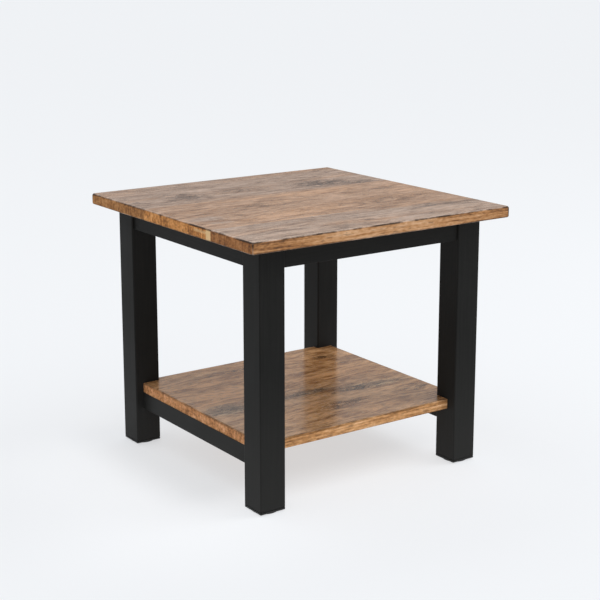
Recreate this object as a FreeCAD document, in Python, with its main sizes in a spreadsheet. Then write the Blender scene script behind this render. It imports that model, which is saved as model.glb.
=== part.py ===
import FreeCAD, Part
import os
import re
import Sketcher
from FreeCAD import Placement, Rotation, Vector

# A square end table with a low shelf, in millimetres. Z is up, and the origin is on the
# floor under the middle of the top. X runs along the grain of the top and the shelf.
# Two glued side frames, each of two legs, an apron and a low rail, stand left and right.
# Front and back aprons join them, drawn up by a steel bracket and a bolt in each corner.

SIZES = (
    ("overall_height", 515, "floor to the upper face of the top"),
    ("top_length", 590, "top along the grain"),
    ("top_width", 590, "top across the grain"),
    ("top_thickness", 22, "boards of the top"),
    ("top_overhang", 40, "edge of the top beyond the legs"),
    ("top_corner_round", 6, "radius of the top's upright corners"),
    ("top_arris_round", 4.5, "rounding of the top's upper arris"),
    ("top_lower_round", 3.5, "rounding of the top's lower arris"),
    ("front_board_width", 134, "front board of the top"),
    ("back_board_width", 217, "back board of the top"),
    ("leg_width", 54, "side of the square leg"),
    ("leg_round", 2.5, "rounding of the leg's long arrises"),
    ("leg_end_chamfer", 1.5, "chamfer round the leg's lower end"),
    ("leg_flat_cut", 10, "inner arris cut back at the top of the leg, for the bolt"),
    ("apron_height", 42, "apron under the top"),
    ("apron_thickness", 20, "apron from face to face"),
    ("apron_setback", 5, "apron behind the leg's outer face"),
    ("apron_round", 1.5, "rounding of the apron's lower arrises"),
    ("shelf_height", 130, "floor to the upper face of the shelf"),
    ("shelf_thickness", 20, "boards of the shelf"),
    ("shelf_setback", 17, "shelf's ends and rails behind the leg's outer face"),
    ("shelf_front_setback", 21, "shelf's front edge behind the leg's outer face"),
    ("shelf_back_setback", 38, "shelf's back edge inside the leg's outer face"),
    ("shelf_arris_round", 2, "rounding of the shelf's upper arris"),
    ("shelf_lower_round", 1, "rounding of the shelf's lower arris"),
    ("shelf_back_board_width", 225, "back board of the shelf"),
    ("shelf_notch_gap", 0.5, "air between the shelf's notch and the leg"),
    ("rail_height", 35, "rail under the shelf"),
    ("rail_thickness", 20, "rail from face to face"),
    ("rail_round", 1.5, "rounding of the rail's lower arrises"),
    ("dowel_diameter", 8, "wooden dowel"),
    ("dowel_length", 30, "wooden dowel"),
    ("dowel_chamfer", 1, "dowel's ends"),
    ("dowel_end_gap", 0.5, "air at the end of a dowel"),
    ("apron_dowel_pitch", 20, "between the dowels of an apron's end"),
    ("rail_dowel_pitch", 16, "between the dowels of a rail's end"),
    ("fit_gap", 0.05, "air all round a dowel, screw, bolt or insert in its hole"),
    ("bracket_plate", 2, "steel of the corner bracket"),
    ("bracket_height", 28, "corner bracket"),
    ("bracket_flange", 30, "length of the bracket's flanges"),
    ("bracket_corner_round", 4, "corners of the flanges"),
    ("bracket_bend_round", 1.5, "inside of the bracket's bends"),
    ("bracket_gap", 6, "between the bracket's web and the flat of the leg"),
    ("bolt_diameter", 8, "hanger bolt"),
    ("bolt_bite", 27, "hanger bolt in the leg"),
    ("bolt_point", 6, "pointed end of the hanger bolt"),
    ("bolt_end_chamfer", 1, "plain end of the hanger bolt"),
    ("bolt_proud", 4, "hanger bolt beyond its nut"),
    ("bolt_hole_gap", 0.5, "air round the bolt in the bracket and the washer"),
    ("washer_diameter", 18, "washer on the hanger bolt"),
    ("washer_thickness", 1.6, "washer on the hanger bolt"),
    ("nut_width", 13, "nut across its flats"),
    ("nut_height", 6.5, "nut on the hanger bolt"),
    ("screw_diameter", 4, "all wood screws"),
    ("screw_point", 4, "pointed end of a screw"),
    ("screw_head_diameter", 8, "all wood screws"),
    ("screw_head_height", 2.4, "all wood screws"),
    ("screw_hole_gap", 0.4, "air round a screw in a steel plate or a bored rail"),
    ("screw_end_gap", 1, "air at the point of a screw"),
    ("bracket_screw_length", 16, "under the head"),
    ("top_screw_length", 14, "under the head"),
    ("shelf_screw_grip", 22, "wood of the rail above the screw's head"),
    ("shelf_screw_bite", 13, "screw in the shelf"),
    ("shelf_screw_well", 10, "diameter of the well that sinks the screw's head"),
    ("clip_plate", 2, "steel of the clip that holds the top"),
    ("clip_width", 20, "clip along its apron"),
    ("clip_reach", 22, "tab of the clip under the top"),
    ("clip_hook", 8, "tab of the clip in the apron's slot"),
    ("clip_drop", 9, "underside of the top to the roof of the slot"),
    ("clip_gap", 0.3, "between the clip and the apron's face"),
    ("clip_play", 1, "air round the clip's tab in its slot"),
    ("clip_spacing", 200, "between the clips of the front and of the back apron"),
    ("foot_height", 6.5, "pad under the leg"),
    ("pad_diameter", 50, "pad under the leg"),
    ("pad_lower_round", 2.5, "rounding where the pad meets the floor"),
    ("pad_upper_round", 0.8, "rounding of the pad's upper rim"),
    ("pad_floor", 2, "pad under the stem's collar"),
    ("stem_diameter", 8, "threaded stem of the foot"),
    ("stem_chamfer", 1, "upper end of the stem"),
    ("collar_diameter", 13, "collar of the stem, held in the pad"),
    ("collar_height", 2, "collar of the stem"),
    ("collar_play", 0.2, "collar's play up and down in the pad"),
    ("stem_gap", 0.06, "air round the stem and its collar"),
    ("foot_travel", 10, "how far the foot screws out"),
    ("insert_diameter", 12, "threaded insert in the leg's end"),
    ("insert_length", 20, "threaded insert in the leg's end"),
    ("insert_rim_diameter", 18, "rim of the insert, let in flush"),
    ("insert_rim_height", 1.2, "rim of the insert"),
    ("stem_well_gap", 0.8, "air round and above the stem over the insert"),
    ("overrun", 5, "how far a cut runs out of the wood"),
)

# Places of the screws, as shares of the piece that carries them.
FLANGE_HOLE_SHARE = 0.62
BRACKET_HOLE_SHARES = (0.24, 0.76)
SHELF_SCREW_SHARES = (0.25, 0.75)
CLIP_HOLE_SHARE = 0.62
HEAD_ROUND_SHARE = 0.6

# Planes and faces of the table, as expressions in the sizes.
TOP_UNDERSIDE = "(overall_height - top_thickness)"
LEG_LENGTH = f"({TOP_UNDERSIDE} - foot_height)"
HALF_LENGTH = "(top_length / 2)"
HALF_WIDTH = "(top_width / 2)"
LEG_MID_X = f"({HALF_LENGTH} - top_overhang - leg_width / 2)"
LEG_MID_Y = f"({HALF_WIDTH} - top_overhang - leg_width / 2)"
LEG_IN_X = f"({HALF_LENGTH} - top_overhang - leg_width)"
LEG_IN_Y = f"({HALF_WIDTH} - top_overhang - leg_width)"
APRON_OUT_X = f"({HALF_LENGTH} - top_overhang - apron_setback)"
APRON_OUT_Y = f"({HALF_WIDTH} - top_overhang - apron_setback)"
APRON_IN_X = f"({APRON_OUT_X} - apron_thickness)"
APRON_IN_Y = f"({APRON_OUT_Y} - apron_thickness)"
APRON_LOW = f"({TOP_UNDERSIDE} - apron_height)"
APRON_MID = f"({TOP_UNDERSIDE} - apron_height / 2)"
SHELF_OUT_X = f"({HALF_LENGTH} - top_overhang - shelf_setback)"
SHELF_FRONT = f"({HALF_WIDTH} - top_overhang - shelf_front_setback)"
SHELF_BACK = f"({HALF_WIDTH} - top_overhang - shelf_back_setback)"
SHELF_UNDERSIDE = "(shelf_height - shelf_thickness)"
RAIL_LOW = f"({SHELF_UNDERSIDE} - rail_height)"
RAIL_MID = f"({SHELF_UNDERSIDE} - rail_height / 2)"
RAIL_MID_X = f"({SHELF_OUT_X} - rail_thickness / 2)"
FRONT_SEAM = f"(front_board_width - {HALF_WIDTH})"
BACK_SEAM = f"({HALF_WIDTH} - back_board_width)"
SHELF_SEAM = f"({SHELF_BACK} - shelf_back_board_width)"

# The corner joint, measured along the diagonal from the leg's axis towards the room inside.
LEG_FLAT = "((leg_width - leg_flat_cut) / sqrt(2))"
WEB_OUTSIDE = f"({LEG_FLAT} + bracket_gap)"
WEB_INSIDE = f"({WEB_OUTSIDE} + bracket_plate)"
WASHER_INSIDE = f"({WEB_INSIDE} + washer_thickness)"
NUT_INSIDE = f"({WASHER_INSIDE} + nut_height)"
BOLT_START = f"({LEG_FLAT} - bolt_bite)"
BOLT_LENGTH = f"({NUT_INSIDE} + bolt_proud - {BOLT_START})"

# The bracket's bend, from where the inner faces of two aprons cross, along either face.
CROSSING = "(2 * (leg_width - apron_setback - apron_thickness))"
BRACKET_BEND = f"({CROSSING} - leg_flat_cut + bracket_gap * sqrt(2))"
FLANGE_HOLE = f"({BRACKET_BEND} + bracket_flange * {FLANGE_HOLE_SHARE})"
FLANGE_END = f"({BRACKET_BEND} + bracket_flange)"

# Clips: a pair on the front and on the back apron, and on each side apron one under the
# middle board and one between the back seam and the bracket.
CLIP_HOLE = f"(clip_gap + clip_reach * {CLIP_HOLE_SHARE})"
CLIP_X = "(clip_spacing / 2)"
SIDE_CLIPS = (
    f"(({FRONT_SEAM} + {BACK_SEAM}) / 2)",
    f"(({BACK_SEAM} + {APRON_IN_Y} - {FLANGE_END}) / 2)",
)

# Corner name, the signs of its X and Y, and the turn of its pieces about Z.
CORNERS = (
    ("front_left", -1, -1, 0),
    ("front_right", 1, -1, 90),
    ("back_right", 1, 1, 180),
    ("back_left", -1, 1, 270),
)
TURN_COSINE = {0: 1, 90: 0, 180: -1, 270: 0}
TURN_SINE = {0: 0, 90: 1, 180: 0, 270: -1}

# Plane of the body across each axis, and the sense of the plane's normal on that axis.
ACROSS = {"X": ("YZ_Plane", 1), "Y": ("XZ_Plane", -1), "Z": ("XY_Plane", 1)}
SAME_PLACE = 1e-4

doc = FreeCAD.newDocument("EndTable")
sheet = doc.addObject("Spreadsheet::Sheet", "Sizes")
for row, (alias, size, meaning) in enumerate(SIZES, start=1):
    sheet.set(f"A{row}", meaning)
    sheet.set(f"B{row}", str(size))
    sheet.setAlias(f"B{row}", alias)
doc.recompute()
ALIASES = {alias for alias, size, meaning in SIZES}
subparts = []


def tied(text):
    """The expression with each size's name led to its cell in the sheet."""
    def cell(word):
        return f"{sheet.Name}.{word[0]}" if word[0] in ALIASES else word[0]
    return re.sub(r"[a-z_]+", cell, text)


def value(text):
    return float(sheet.evalExpression(tied(text)))


def bind(thing, prefix, place):
    for letter, text in zip("xyz", place):
        thing.setExpression(f"{prefix}.{letter}", tied(text))


def new_body(label, place=("0", "0", "0"), turn=0):
    body = doc.addObject("PartDesign::Body", label)
    body.Label = label
    body.Placement = Placement(Vector(), Rotation(Vector(0, 0, 1), turn))
    bind(body, "Placement.Base", place)
    return body


def new_sketch(body, axis, at="0"):
    """A sketch square to one of the body's axes, at a coordinate on that axis."""
    role, sense = ACROSS[axis]
    sketch = body.newObject("Sketcher::SketchObject", f"{body.Label}_sketch")
    plane = next(p for p in body.Origin.OriginFeatures if p.Role == role)
    sketch.AttachmentSupport = [(plane, "")]
    sketch.MapMode = "FlatFace"
    sketch.setExpression("AttachmentOffset.Base.z", tied(f"{sense} * ({at})"))
    return sketch


def fix_point(sketch, shape, point, where):
    for kind, text in zip(("DistanceX", "DistanceY"), where):
        rule = Sketcher.Constraint(kind, -1, 1, shape, point, value(text))
        number = sketch.addConstraint(rule)
        sketch.setExpression(f"Constraints[{number}]", tied(text))


def draw_outline(sketch, corners):
    """A closed outline with straight sides, each corner at a pair of expressions."""
    first = sketch.GeometryCount
    spots = [Vector(value(across), value(along), 0) for across, along in corners]
    for start, end in zip(spots, spots[1:] + spots[:1]):
        sketch.addGeometry(Part.LineSegment(start, end))
    for side in range(len(corners)):
        following = first + (side + 1) % len(corners)
        sketch.addConstraint(Sketcher.Constraint("Coincident", first + side, 2, following, 1))
    for side, corner in enumerate(corners):
        fix_point(sketch, first + side, 1, corner)


def draw_circles(sketch, diameter, centres):
    for across, along in centres:
        spot = Vector(value(across), value(along), 0)
        circle = sketch.addGeometry(Part.Circle(spot, Vector(0, 0, 1), value(diameter) / 2))
        number = sketch.addConstraint(Sketcher.Constraint("Diameter", circle, value(diameter)))
        sketch.setExpression(f"Constraints[{number}]", tied(diameter))
        fix_point(sketch, circle, 3, (across, along))


def rectangle(low_x, high_x, low_y, high_y):
    return [(low_x, low_y), (high_x, low_y), (high_x, high_y), (low_x, high_y)]


def pad(body, sketch, length):
    feature = body.newObject("PartDesign::Pad", f"{body.Label}_pad")
    feature.Profile = sketch
    feature.setExpression("Length", tied(length))


def pocket(body, sketch, depth, forward):
    """A cut that starts at the sketch and runs with its normal, or against it."""
    feature = body.newObject("PartDesign::Pocket", f"{body.Label}_pocket")
    feature.Profile = sketch
    feature.Reversed = forward
    feature.setExpression("Length", tied(depth))


def sunk_sketch(body, axis, side, face, depth):
    """A sketch at the bottom of a cut made from a face that looks to one side of an axis."""
    return new_sketch(body, axis, f"{face} - {side} * ({depth})")


def clear_out(body, sketch, axis, side, depth):
    pocket(body, sketch, f"{depth} + overrun", side * ACROSS[axis][1] > 0)


def drill(body, axis, side, face, depth, diameter, centres):
    """Flat-bottomed round holes from a face that looks to one side of an axis."""
    sketch = sunk_sketch(body, axis, side, face, depth)
    draw_circles(sketch, diameter, centres)
    clear_out(body, sketch, axis, side, depth)


def drill_diagonal(body, angle, start, depth, diameter, height):
    """A level hole along a diagonal of the body, given by its angle from X."""
    sketch = new_sketch(body, "X")
    sketch.AttachmentOffset = Placement(Vector(), Rotation(Vector(0, 1, 0), angle))
    sketch.setExpression("AttachmentOffset.Base.x", tied(f"{start} * sin({angle} deg)"))
    sketch.setExpression("AttachmentOffset.Base.z", tied(f"{start} * cos({angle} deg)"))
    draw_circles(sketch, diameter, [("0", height)])
    pocket(body, sketch, f"{depth} + overrun", True)


def lies_at(edge, **planes):
    """True for an edge that lies wholly in each named plane of its body."""
    box = edge.BoundBox
    spans = {"x": (box.XMin, box.XMax), "y": (box.YMin, box.YMax), "z": (box.ZMin, box.ZMax)}
    return all(abs(end - place) < SAME_PLACE for axis, place in planes.items() for end in spans[axis])


def upright(edge):
    return edge.BoundBox.XLength < SAME_PLACE and edge.BoundBox.YLength < SAME_PLACE


def soften(body, kind, size, wanted):
    """Round (Fillet) or chamfer (Chamfer) the edges that pass a test."""
    doc.recompute()
    base = body.Tip
    names = [f"Edge{n}" for n, edge in enumerate(base.Shape.Edges, start=1) if wanted(edge)]
    feature = body.newObject(f"PartDesign::{kind}", f"{body.Label}_{kind.lower()}")
    feature.Base = (base, names)
    feature.setExpression({"Fillet": "Radius", "Chamfer": "Size"}[kind], tied(size))


def turned(label, profile, place=("0", "0", "0")):
    """A body turned about its own Z axis, from corners given as radius and height."""
    body = new_body(label, place)
    sketch = new_sketch(body, "Y")
    draw_outline(sketch, profile)
    turning = body.newObject("PartDesign::Revolution", f"{label}_turning")
    turning.Profile = sketch
    turning.ReferenceAxis = (sketch, ["V_Axis"])
    return body


def pointing(x, y, z):
    return Rotation(Vector(0, 0, 1), Vector(x, y, z))


def group(label, pattern, spots):
    """Copies of one small piece, each at its own place and turn, as one sub-part."""
    copies = []
    for place, rotation in spots:
        copy = doc.addObject("App::Link", f"{pattern.Label}_copy")
        copy.LinkedObject = pattern
        copy.Placement = Placement(Vector(), rotation)
        bind(copy, "Placement.Base", place)
        copies.append(copy)
    joined = doc.addObject("Part::Compound", label)
    joined.Label = label
    joined.Links = copies
    subparts.append(joined)


def round_board(body, upper_round, lower_round, thickness, seams):
    """Ease a board's upper and lower arrises, but not along its glued seams."""
    for height, radius in ((thickness, upper_round), ("0", lower_round)):
        def outer(edge):
            glued = any(lies_at(edge, y=value(seam)) for seam in seams)
            return lies_at(edge, z=value(height)) and edge_is_outside(body, edge) and not glued
        soften(body, "Fillet", radius, outer)


def edge_is_outside(body, edge):
    """True for an edge on the body's outline, not round a hole or in a notch."""
    box = body.Tip.Shape.BoundBox
    span = edge.BoundBox
    at_end = span.XMax > box.XMax - SAME_PLACE or span.XMin < box.XMin + SAME_PLACE
    at_side = span.YMax > box.YMax - SAME_PLACE or span.YMin < box.YMin + SAME_PLACE
    return at_end or at_side


def top_board(label, low, high, edges, seams, screws):
    """One board of the top, from its lowest to its highest Y."""
    width = f"({high} - {low})"
    body = new_body(label, ("0", low, TOP_UNDERSIDE))
    sketch = new_sketch(body, "Z")
    draw_outline(sketch, rectangle(f"-{HALF_LENGTH}", HALF_LENGTH, "0", width))
    pad(body, sketch, "top_thickness")
    for edge_place in edges:
        side = value(edge_place.format(width=width))
        soften(body, "Fillet", "top_corner_round", lambda edge: upright(edge) and lies_at(edge, y=side))
    seam_places = [seam.format(width=width) for seam in seams]
    round_board(body, "top_arris_round", "top_lower_round", "top_thickness", seam_places)
    depth = "top_screw_length - clip_plate + screw_end_gap"
    holes = [(x, f"{y} - {low}") for x, y in screws]
    drill(body, "Z", -1, "0", depth, "screw_diameter + 2 * fit_gap", holes)
    subparts.append(body)


def make_top():
    side_x = f"({APRON_IN_X} - {CLIP_HOLE})"
    end_y = f"({APRON_IN_Y} - {CLIP_HOLE})"
    pair = [f"-{CLIP_X}", CLIP_X]
    sides = [f"-{side_x}", side_x]
    front = [(x, f"-{end_y}") for x in pair]
    middle = [(x, SIDE_CLIPS[0]) for x in sides]
    back = [(x, SIDE_CLIPS[1]) for x in sides] + [(x, end_y) for x in pair]
    top_board("top_board_front", f"(-{HALF_WIDTH})", FRONT_SEAM, ["0"], ["{width}"], front)
    top_board("top_board_middle", FRONT_SEAM, BACK_SEAM, [], ["0", "{width}"], middle)
    top_board("top_board_back", BACK_SEAM, HALF_WIDTH, ["{width}"], ["0"], back)


def shelf_screw_places():
    """Y of the shelf screws: shares of each board's run along the rails."""
    runs = ((f"(-{LEG_IN_Y})", SHELF_SEAM), (SHELF_SEAM, LEG_IN_Y))
    return [[f"({low} + ({high} - {low}) * {share})" for share in SHELF_SCREW_SHARES] for low, high in runs]


def shelf_board(label, side, reach, width, screws):
    """One board of the shelf, notched round two legs, reaching out on the side of Y given by its sign."""
    body = new_body(label, ("0", f"{side} * {reach}", SHELF_UNDERSIDE))
    notch_x = f"({LEG_IN_X} - shelf_notch_gap)"
    notch_y = f"({-side} * ({reach} - {LEG_IN_Y} + shelf_notch_gap))"
    seam = f"({-side} * {width})"
    half = [(notch_x, "0"), (notch_x, notch_y), (SHELF_OUT_X, notch_y), (SHELF_OUT_X, seam)]
    mirrored = [(f"-{x}", y) for x, y in reversed(half)]
    sketch = new_sketch(body, "Z")
    draw_outline(sketch, half + mirrored)
    pad(body, sketch, "shelf_thickness")
    doc.recompute()
    notch = value(notch_y)
    corner = value(notch_x)

    def seams_and_notches(edge):
        in_notch = lies_at(edge, y=notch) or lies_at(edge, x=corner) or lies_at(edge, x=-corner)
        return in_notch or lies_at(edge, y=value(seam))
    for height, radius in (("shelf_thickness", "shelf_arris_round"), ("0", "shelf_lower_round")):
        soften(body, "Fillet", radius, lambda edge: lies_at(edge, z=value(height))
               and edge_is_outside(body, edge) and not seams_and_notches(edge))
    holes = [(f"{end} * {RAIL_MID_X}", f"{y} - {side} * {reach}") for end in (-1, 1) for y in screws]
    drill(body, "Z", -1, "0", "shelf_screw_bite + screw_end_gap", "screw_diameter + 2 * fit_gap", holes)
    subparts.append(body)


def make_shelf():
    front_screws, back_screws = shelf_screw_places()
    shelf_board("shelf_board_front", -1, SHELF_FRONT, f"({SHELF_SEAM} + {SHELF_FRONT})", front_screws)
    shelf_board("shelf_board_back", 1, SHELF_BACK, "shelf_back_board_width", back_screws)


def make_leg(corner, side_x, side_y, turn):
    """A square leg: its apron and rail faces look inwards, and its foot screws into its end."""
    place = (f"{side_x} * {LEG_MID_X}", f"{side_y} * {LEG_MID_Y}", "foot_height")
    body = new_body(f"leg_{corner}", place)
    half = "(leg_width / 2)"
    sketch = new_sketch(body, "Z")
    draw_outline(sketch, rectangle(f"-{half}", half, f"-{half}", half))
    pad(body, sketch, LEG_LENGTH)
    soften(body, "Fillet", "leg_round", upright)
    soften(body, "Chamfer", "leg_end_chamfer", lambda edge: lies_at(edge, z=0))

    near = f"({half} - leg_flat_cut - overrun)"
    far = f"({half} + overrun)"
    sketch = new_sketch(body, "Z", LEG_LENGTH)
    draw_outline(sketch, [
        (f"{-side_x} * {near}", f"{-side_y} * {far}"),
        (f"{-side_x} * {far}", f"{-side_y} * {far}"),
        (f"{-side_x} * {far}", f"{-side_y} * {near}"),
    ])
    pocket(body, sketch, "apron_height", False)
    bolt_height = f"({APRON_MID} - foot_height)"
    drill_diagonal(body, turn + 45, BOLT_START, "bolt_bite", "bolt_diameter + 2 * fit_gap", bolt_height)

    dowel_depth = "(dowel_length / 2 + dowel_end_gap)"
    dowel_hole = "dowel_diameter + 2 * fit_gap"
    apron_middle = f"({half} - apron_setback - apron_thickness / 2)"
    rail_middle = f"({half} - shelf_setback - rail_thickness / 2)"
    apron_heights = [f"({APRON_MID} - foot_height {sign} apron_dowel_pitch / 2)" for sign in "-+"]
    rail_heights = [f"({RAIL_MID} - foot_height {sign} rail_dowel_pitch / 2)" for sign in "-+"]
    along_y = [(f"{side_x} * {apron_middle}", height) for height in apron_heights]
    along_y += [(f"{side_x} * {rail_middle}", height) for height in rail_heights]
    along_x = [(f"{side_y} * {apron_middle}", height) for height in apron_heights]
    drill(body, "X", -side_x, f"{-side_x} * {half}", dowel_depth, dowel_hole, along_x)
    drill(body, "Y", -side_y, f"{-side_y} * {half}", dowel_depth, dowel_hole, along_y)

    axis = [("0", "0")]
    drill(body, "Z", -1, "0", "insert_rim_height", "insert_rim_diameter + 2 * fit_gap", axis)
    drill(body, "Z", -1, "0", "insert_length", "insert_diameter + 2 * fit_gap", axis)
    well = "insert_length + foot_travel + stem_well_gap"
    drill(body, "Z", -1, "0", well, "stem_diameter + 2 * stem_well_gap", axis)
    subparts.append(body)


def plain_bar(label, place, turn, length, thickness, height, lower_round):
    """A straight bar along local X, with its outer face at local Y 0 and its base at Z 0."""
    body = new_body(label, place, turn)
    sketch = new_sketch(body, "Z")
    draw_outline(sketch, rectangle(f"-{length} / 2", f"{length} / 2", "0", thickness))
    pad(body, sketch, height)
    soften(body, "Fillet", lower_round, lambda edge: lies_at(edge, z=0) and not upright(edge)
           and edge.BoundBox.XLength > SAME_PLACE)
    return body


def drill_bar_ends(body, length, thickness, height, pitch):
    depth = "(dowel_length / 2 + dowel_end_gap)"
    spots = [(f"{thickness} / 2", f"{height} / 2 {sign} {pitch} / 2") for sign in "-+"]
    for side in (-1, 1):
        drill(body, "X", side, f"{side} * {length} / 2", depth, "dowel_diameter + 2 * fit_gap", spots)


def make_apron(label, place, turn, half, inner_half, clips):
    """An apron with dowel holes, slots for the top's clips and holes for bracket screws."""
    length = f"(2 * {half})"
    body = plain_bar(label, place, turn, length, "apron_thickness", "apron_height", "apron_round")
    drill_bar_ends(body, length, "apron_thickness", "apron_height", "apron_dowel_pitch")

    depth = "(clip_hook + clip_play)"
    sketch = sunk_sketch(body, "Y", 1, "apron_thickness", depth)
    roof = "(apron_height - clip_drop)"
    base = f"({roof} - clip_plate - clip_play)"
    slot_half = "(clip_width / 2 + clip_play)"
    for clip in clips:
        draw_outline(sketch, rectangle(f"{clip} - {slot_half}", f"{clip} + {slot_half}", base, roof))
    clear_out(body, sketch, "Y", 1, depth)

    base = "(apron_height / 2 - bracket_height / 2)"
    spots = [
        (f"{end} * ({inner_half} - {FLANGE_HOLE})", f"{base} + bracket_height * {share}")
        for end in (-1, 1)
        for share in BRACKET_HOLE_SHARES
    ]
    depth = "bracket_screw_length - bracket_plate + screw_end_gap"
    drill(body, "Y", 1, "apron_thickness", depth, "screw_diameter + 2 * fit_gap", spots)
    subparts.append(body)


def make_aprons():
    pair = [f"(-{CLIP_X})", CLIP_X]
    left = [f"(-{clip})" for clip in SIDE_CLIPS]
    right = list(SIDE_CLIPS)
    make_apron("apron_front", ("0", f"-{APRON_OUT_Y}", APRON_LOW), 0, LEG_IN_X, APRON_IN_X, pair)
    make_apron("apron_back", ("0", APRON_OUT_Y, APRON_LOW), 180, LEG_IN_X, APRON_IN_X, pair)
    make_apron("apron_left", (f"-{APRON_OUT_X}", "0", APRON_LOW), -90, LEG_IN_Y, APRON_IN_Y, left)
    make_apron("apron_right", (APRON_OUT_X, "0", APRON_LOW), 90, LEG_IN_Y, APRON_IN_Y, right)


def make_rails():
    """The low side rails, bored from below for the screws that hold the shelf."""
    length = f"(2 * {LEG_IN_Y})"
    screws = [place for board in shelf_screw_places() for place in board]
    for name, side in (("left", -1), ("right", 1)):
        place = (f"{side} * {SHELF_OUT_X}", "0", RAIL_LOW)
        bar = (f"shelf_rail_{name}", place, side * 90, length)
        body = plain_bar(*bar, "rail_thickness", "rail_height", "rail_round")
        drill_bar_ends(body, length, "rail_thickness", "rail_height", "rail_dowel_pitch")
        spots = [(f"{side} * {screw}", "rail_thickness / 2") for screw in screws]
        drill(body, "Z", -1, "0", "rail_height - shelf_screw_grip", "shelf_screw_well", spots)
        through = "screw_diameter + 2 * screw_hole_gap"
        drill(body, "Z", -1, "0", "rail_height + overrun", through, spots)
        subparts.append(body)


def make_dowels():
    radius = "dowel_diameter / 2"
    end = "dowel_length / 2"
    dowel = turned("dowel", [
        ("0", f"-{end}"),
        (f"{radius} - dowel_chamfer", f"-{end}"),
        (radius, f"-{end} + dowel_chamfer"),
        (radius, f"{end} - dowel_chamfer"),
        (f"{radius} - dowel_chamfer", end),
        ("0", end),
    ])
    apron_heights = [f"{APRON_MID} {sign} apron_dowel_pitch / 2" for sign in "-+"]
    rail_heights = [f"{RAIL_MID} {sign} rail_dowel_pitch / 2" for sign in "-+"]
    apron_mid_x = f"({APRON_OUT_X} - apron_thickness / 2)"
    apron_mid_y = f"({APRON_OUT_Y} - apron_thickness / 2)"
    along_x = pointing(1, 0, 0)
    along_y = pointing(0, 1, 0)
    in_aprons = []
    in_rails = []
    for corner, side_x, side_y, turn in CORNERS:
        for height in apron_heights:
            in_aprons.append(((f"{side_x} * {LEG_IN_X}", f"{side_y} * {apron_mid_y}", height), along_x))
            in_aprons.append(((f"{side_x} * {apron_mid_x}", f"{side_y} * {LEG_IN_Y}", height), along_y))
        for height in rail_heights:
            in_rails.append(((f"{side_x} * {RAIL_MID_X}", f"{side_y} * {LEG_IN_Y}", height), along_y))
    group("apron_dowels", dowel, in_aprons)
    group("rail_dowels", dowel, in_rails)


def make_bracket(corner, side_x, side_y, turn):
    """A bent steel plate across the corner: a web square to the bolt, and two flanges."""
    low = f"({APRON_MID} - bracket_height / 2)"
    place = (f"{side_x} * {APRON_IN_X}", f"{side_y} * {APRON_IN_Y}", low)
    body = new_body(f"corner_bracket_{corner}", place, turn)
    inside_bend = f"({BRACKET_BEND} + bracket_plate * (sqrt(2) - 1))"
    sketch = new_sketch(body, "Z")
    draw_outline(sketch, [
        ("0", FLANGE_END),
        ("0", BRACKET_BEND),
        (BRACKET_BEND, "0"),
        (FLANGE_END, "0"),
        (FLANGE_END, "bracket_plate"),
        (inside_bend, "bracket_plate"),
        ("bracket_plate", inside_bend),
        ("bracket_plate", FLANGE_END),
    ])
    pad(body, sketch, "bracket_height")
    bend = value(BRACKET_BEND)
    inner = value(inside_bend)
    plate = value("bracket_plate")

    def at_bend(edge, far, near):
        return upright(edge) and (lies_at(edge, x=far, y=near) or lies_at(edge, x=near, y=far))
    soften(body, "Fillet", "bracket_bend_round + bracket_plate", lambda edge: at_bend(edge, inner, plate))
    soften(body, "Fillet", "bracket_bend_round", lambda edge: at_bend(edge, bend, 0))
    end = value(FLANGE_END)

    def flange_corner(edge):
        level = lies_at(edge, z=0) or lies_at(edge, z=value("bracket_height"))
        return level and (lies_at(edge, x=end) or lies_at(edge, y=end))
    soften(body, "Fillet", "bracket_corner_round", flange_corner)

    bolt_hole = "bolt_diameter + 2 * bolt_hole_gap"
    drill_diagonal(body, 45, "0", FLANGE_END, bolt_hole, "bracket_height / 2")
    spots = [(FLANGE_HOLE, f"bracket_height * {share}") for share in BRACKET_HOLE_SHARES]
    for axis in "XY":
        hole = "screw_diameter + 2 * screw_hole_gap"
        drill(body, axis, 1, "bracket_plate", "bracket_plate + overrun", hole, spots)
    subparts.append(body)


def make_bolts():
    """Hanger bolts, washers and nuts, one set along each corner's diagonal."""
    radius = "bolt_diameter / 2"
    bolt = turned("hanger_bolt", [
        ("0", "0"),
        (radius, "bolt_point"),
        (radius, f"{BOLT_LENGTH} - bolt_end_chamfer"),
        (f"{radius} - bolt_end_chamfer", BOLT_LENGTH),
        ("0", BOLT_LENGTH),
    ])
    hole = "(bolt_diameter / 2 + bolt_hole_gap)"
    washer = turned("washer", rectangle(hole, "washer_diameter / 2", "0", "washer_thickness"))
    nut = new_body("nut")
    corner_radius = "(nut_width / sqrt(3))"
    sketch = new_sketch(nut, "Z")
    draw_outline(sketch, [
        (f"{corner_radius} * cos({angle} deg)", f"{corner_radius} * sin({angle} deg)")
        for angle in range(0, 360, 60)
    ])
    pad(nut, sketch, "nut_height")
    drill(nut, "Z", -1, "0", "nut_height + overrun", "bolt_diameter + 2 * fit_gap", [("0", "0")])
    for label, pattern, distance in (
        ("hanger_bolts", bolt, BOLT_START),
        ("bracket_washers", washer, WEB_INSIDE),
        ("bracket_nuts", nut, WASHER_INSIDE),
    ):
        spots = []
        for corner, side_x, side_y, turn in CORNERS:
            x = f"{side_x} * ({LEG_MID_X} - {distance} / sqrt(2))"
            y = f"{side_y} * ({LEG_MID_Y} - {distance} / sqrt(2))"
            spots.append(((x, y, APRON_MID), pointing(-side_x, -side_y, 0)))
        group(label, pattern, spots)


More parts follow.
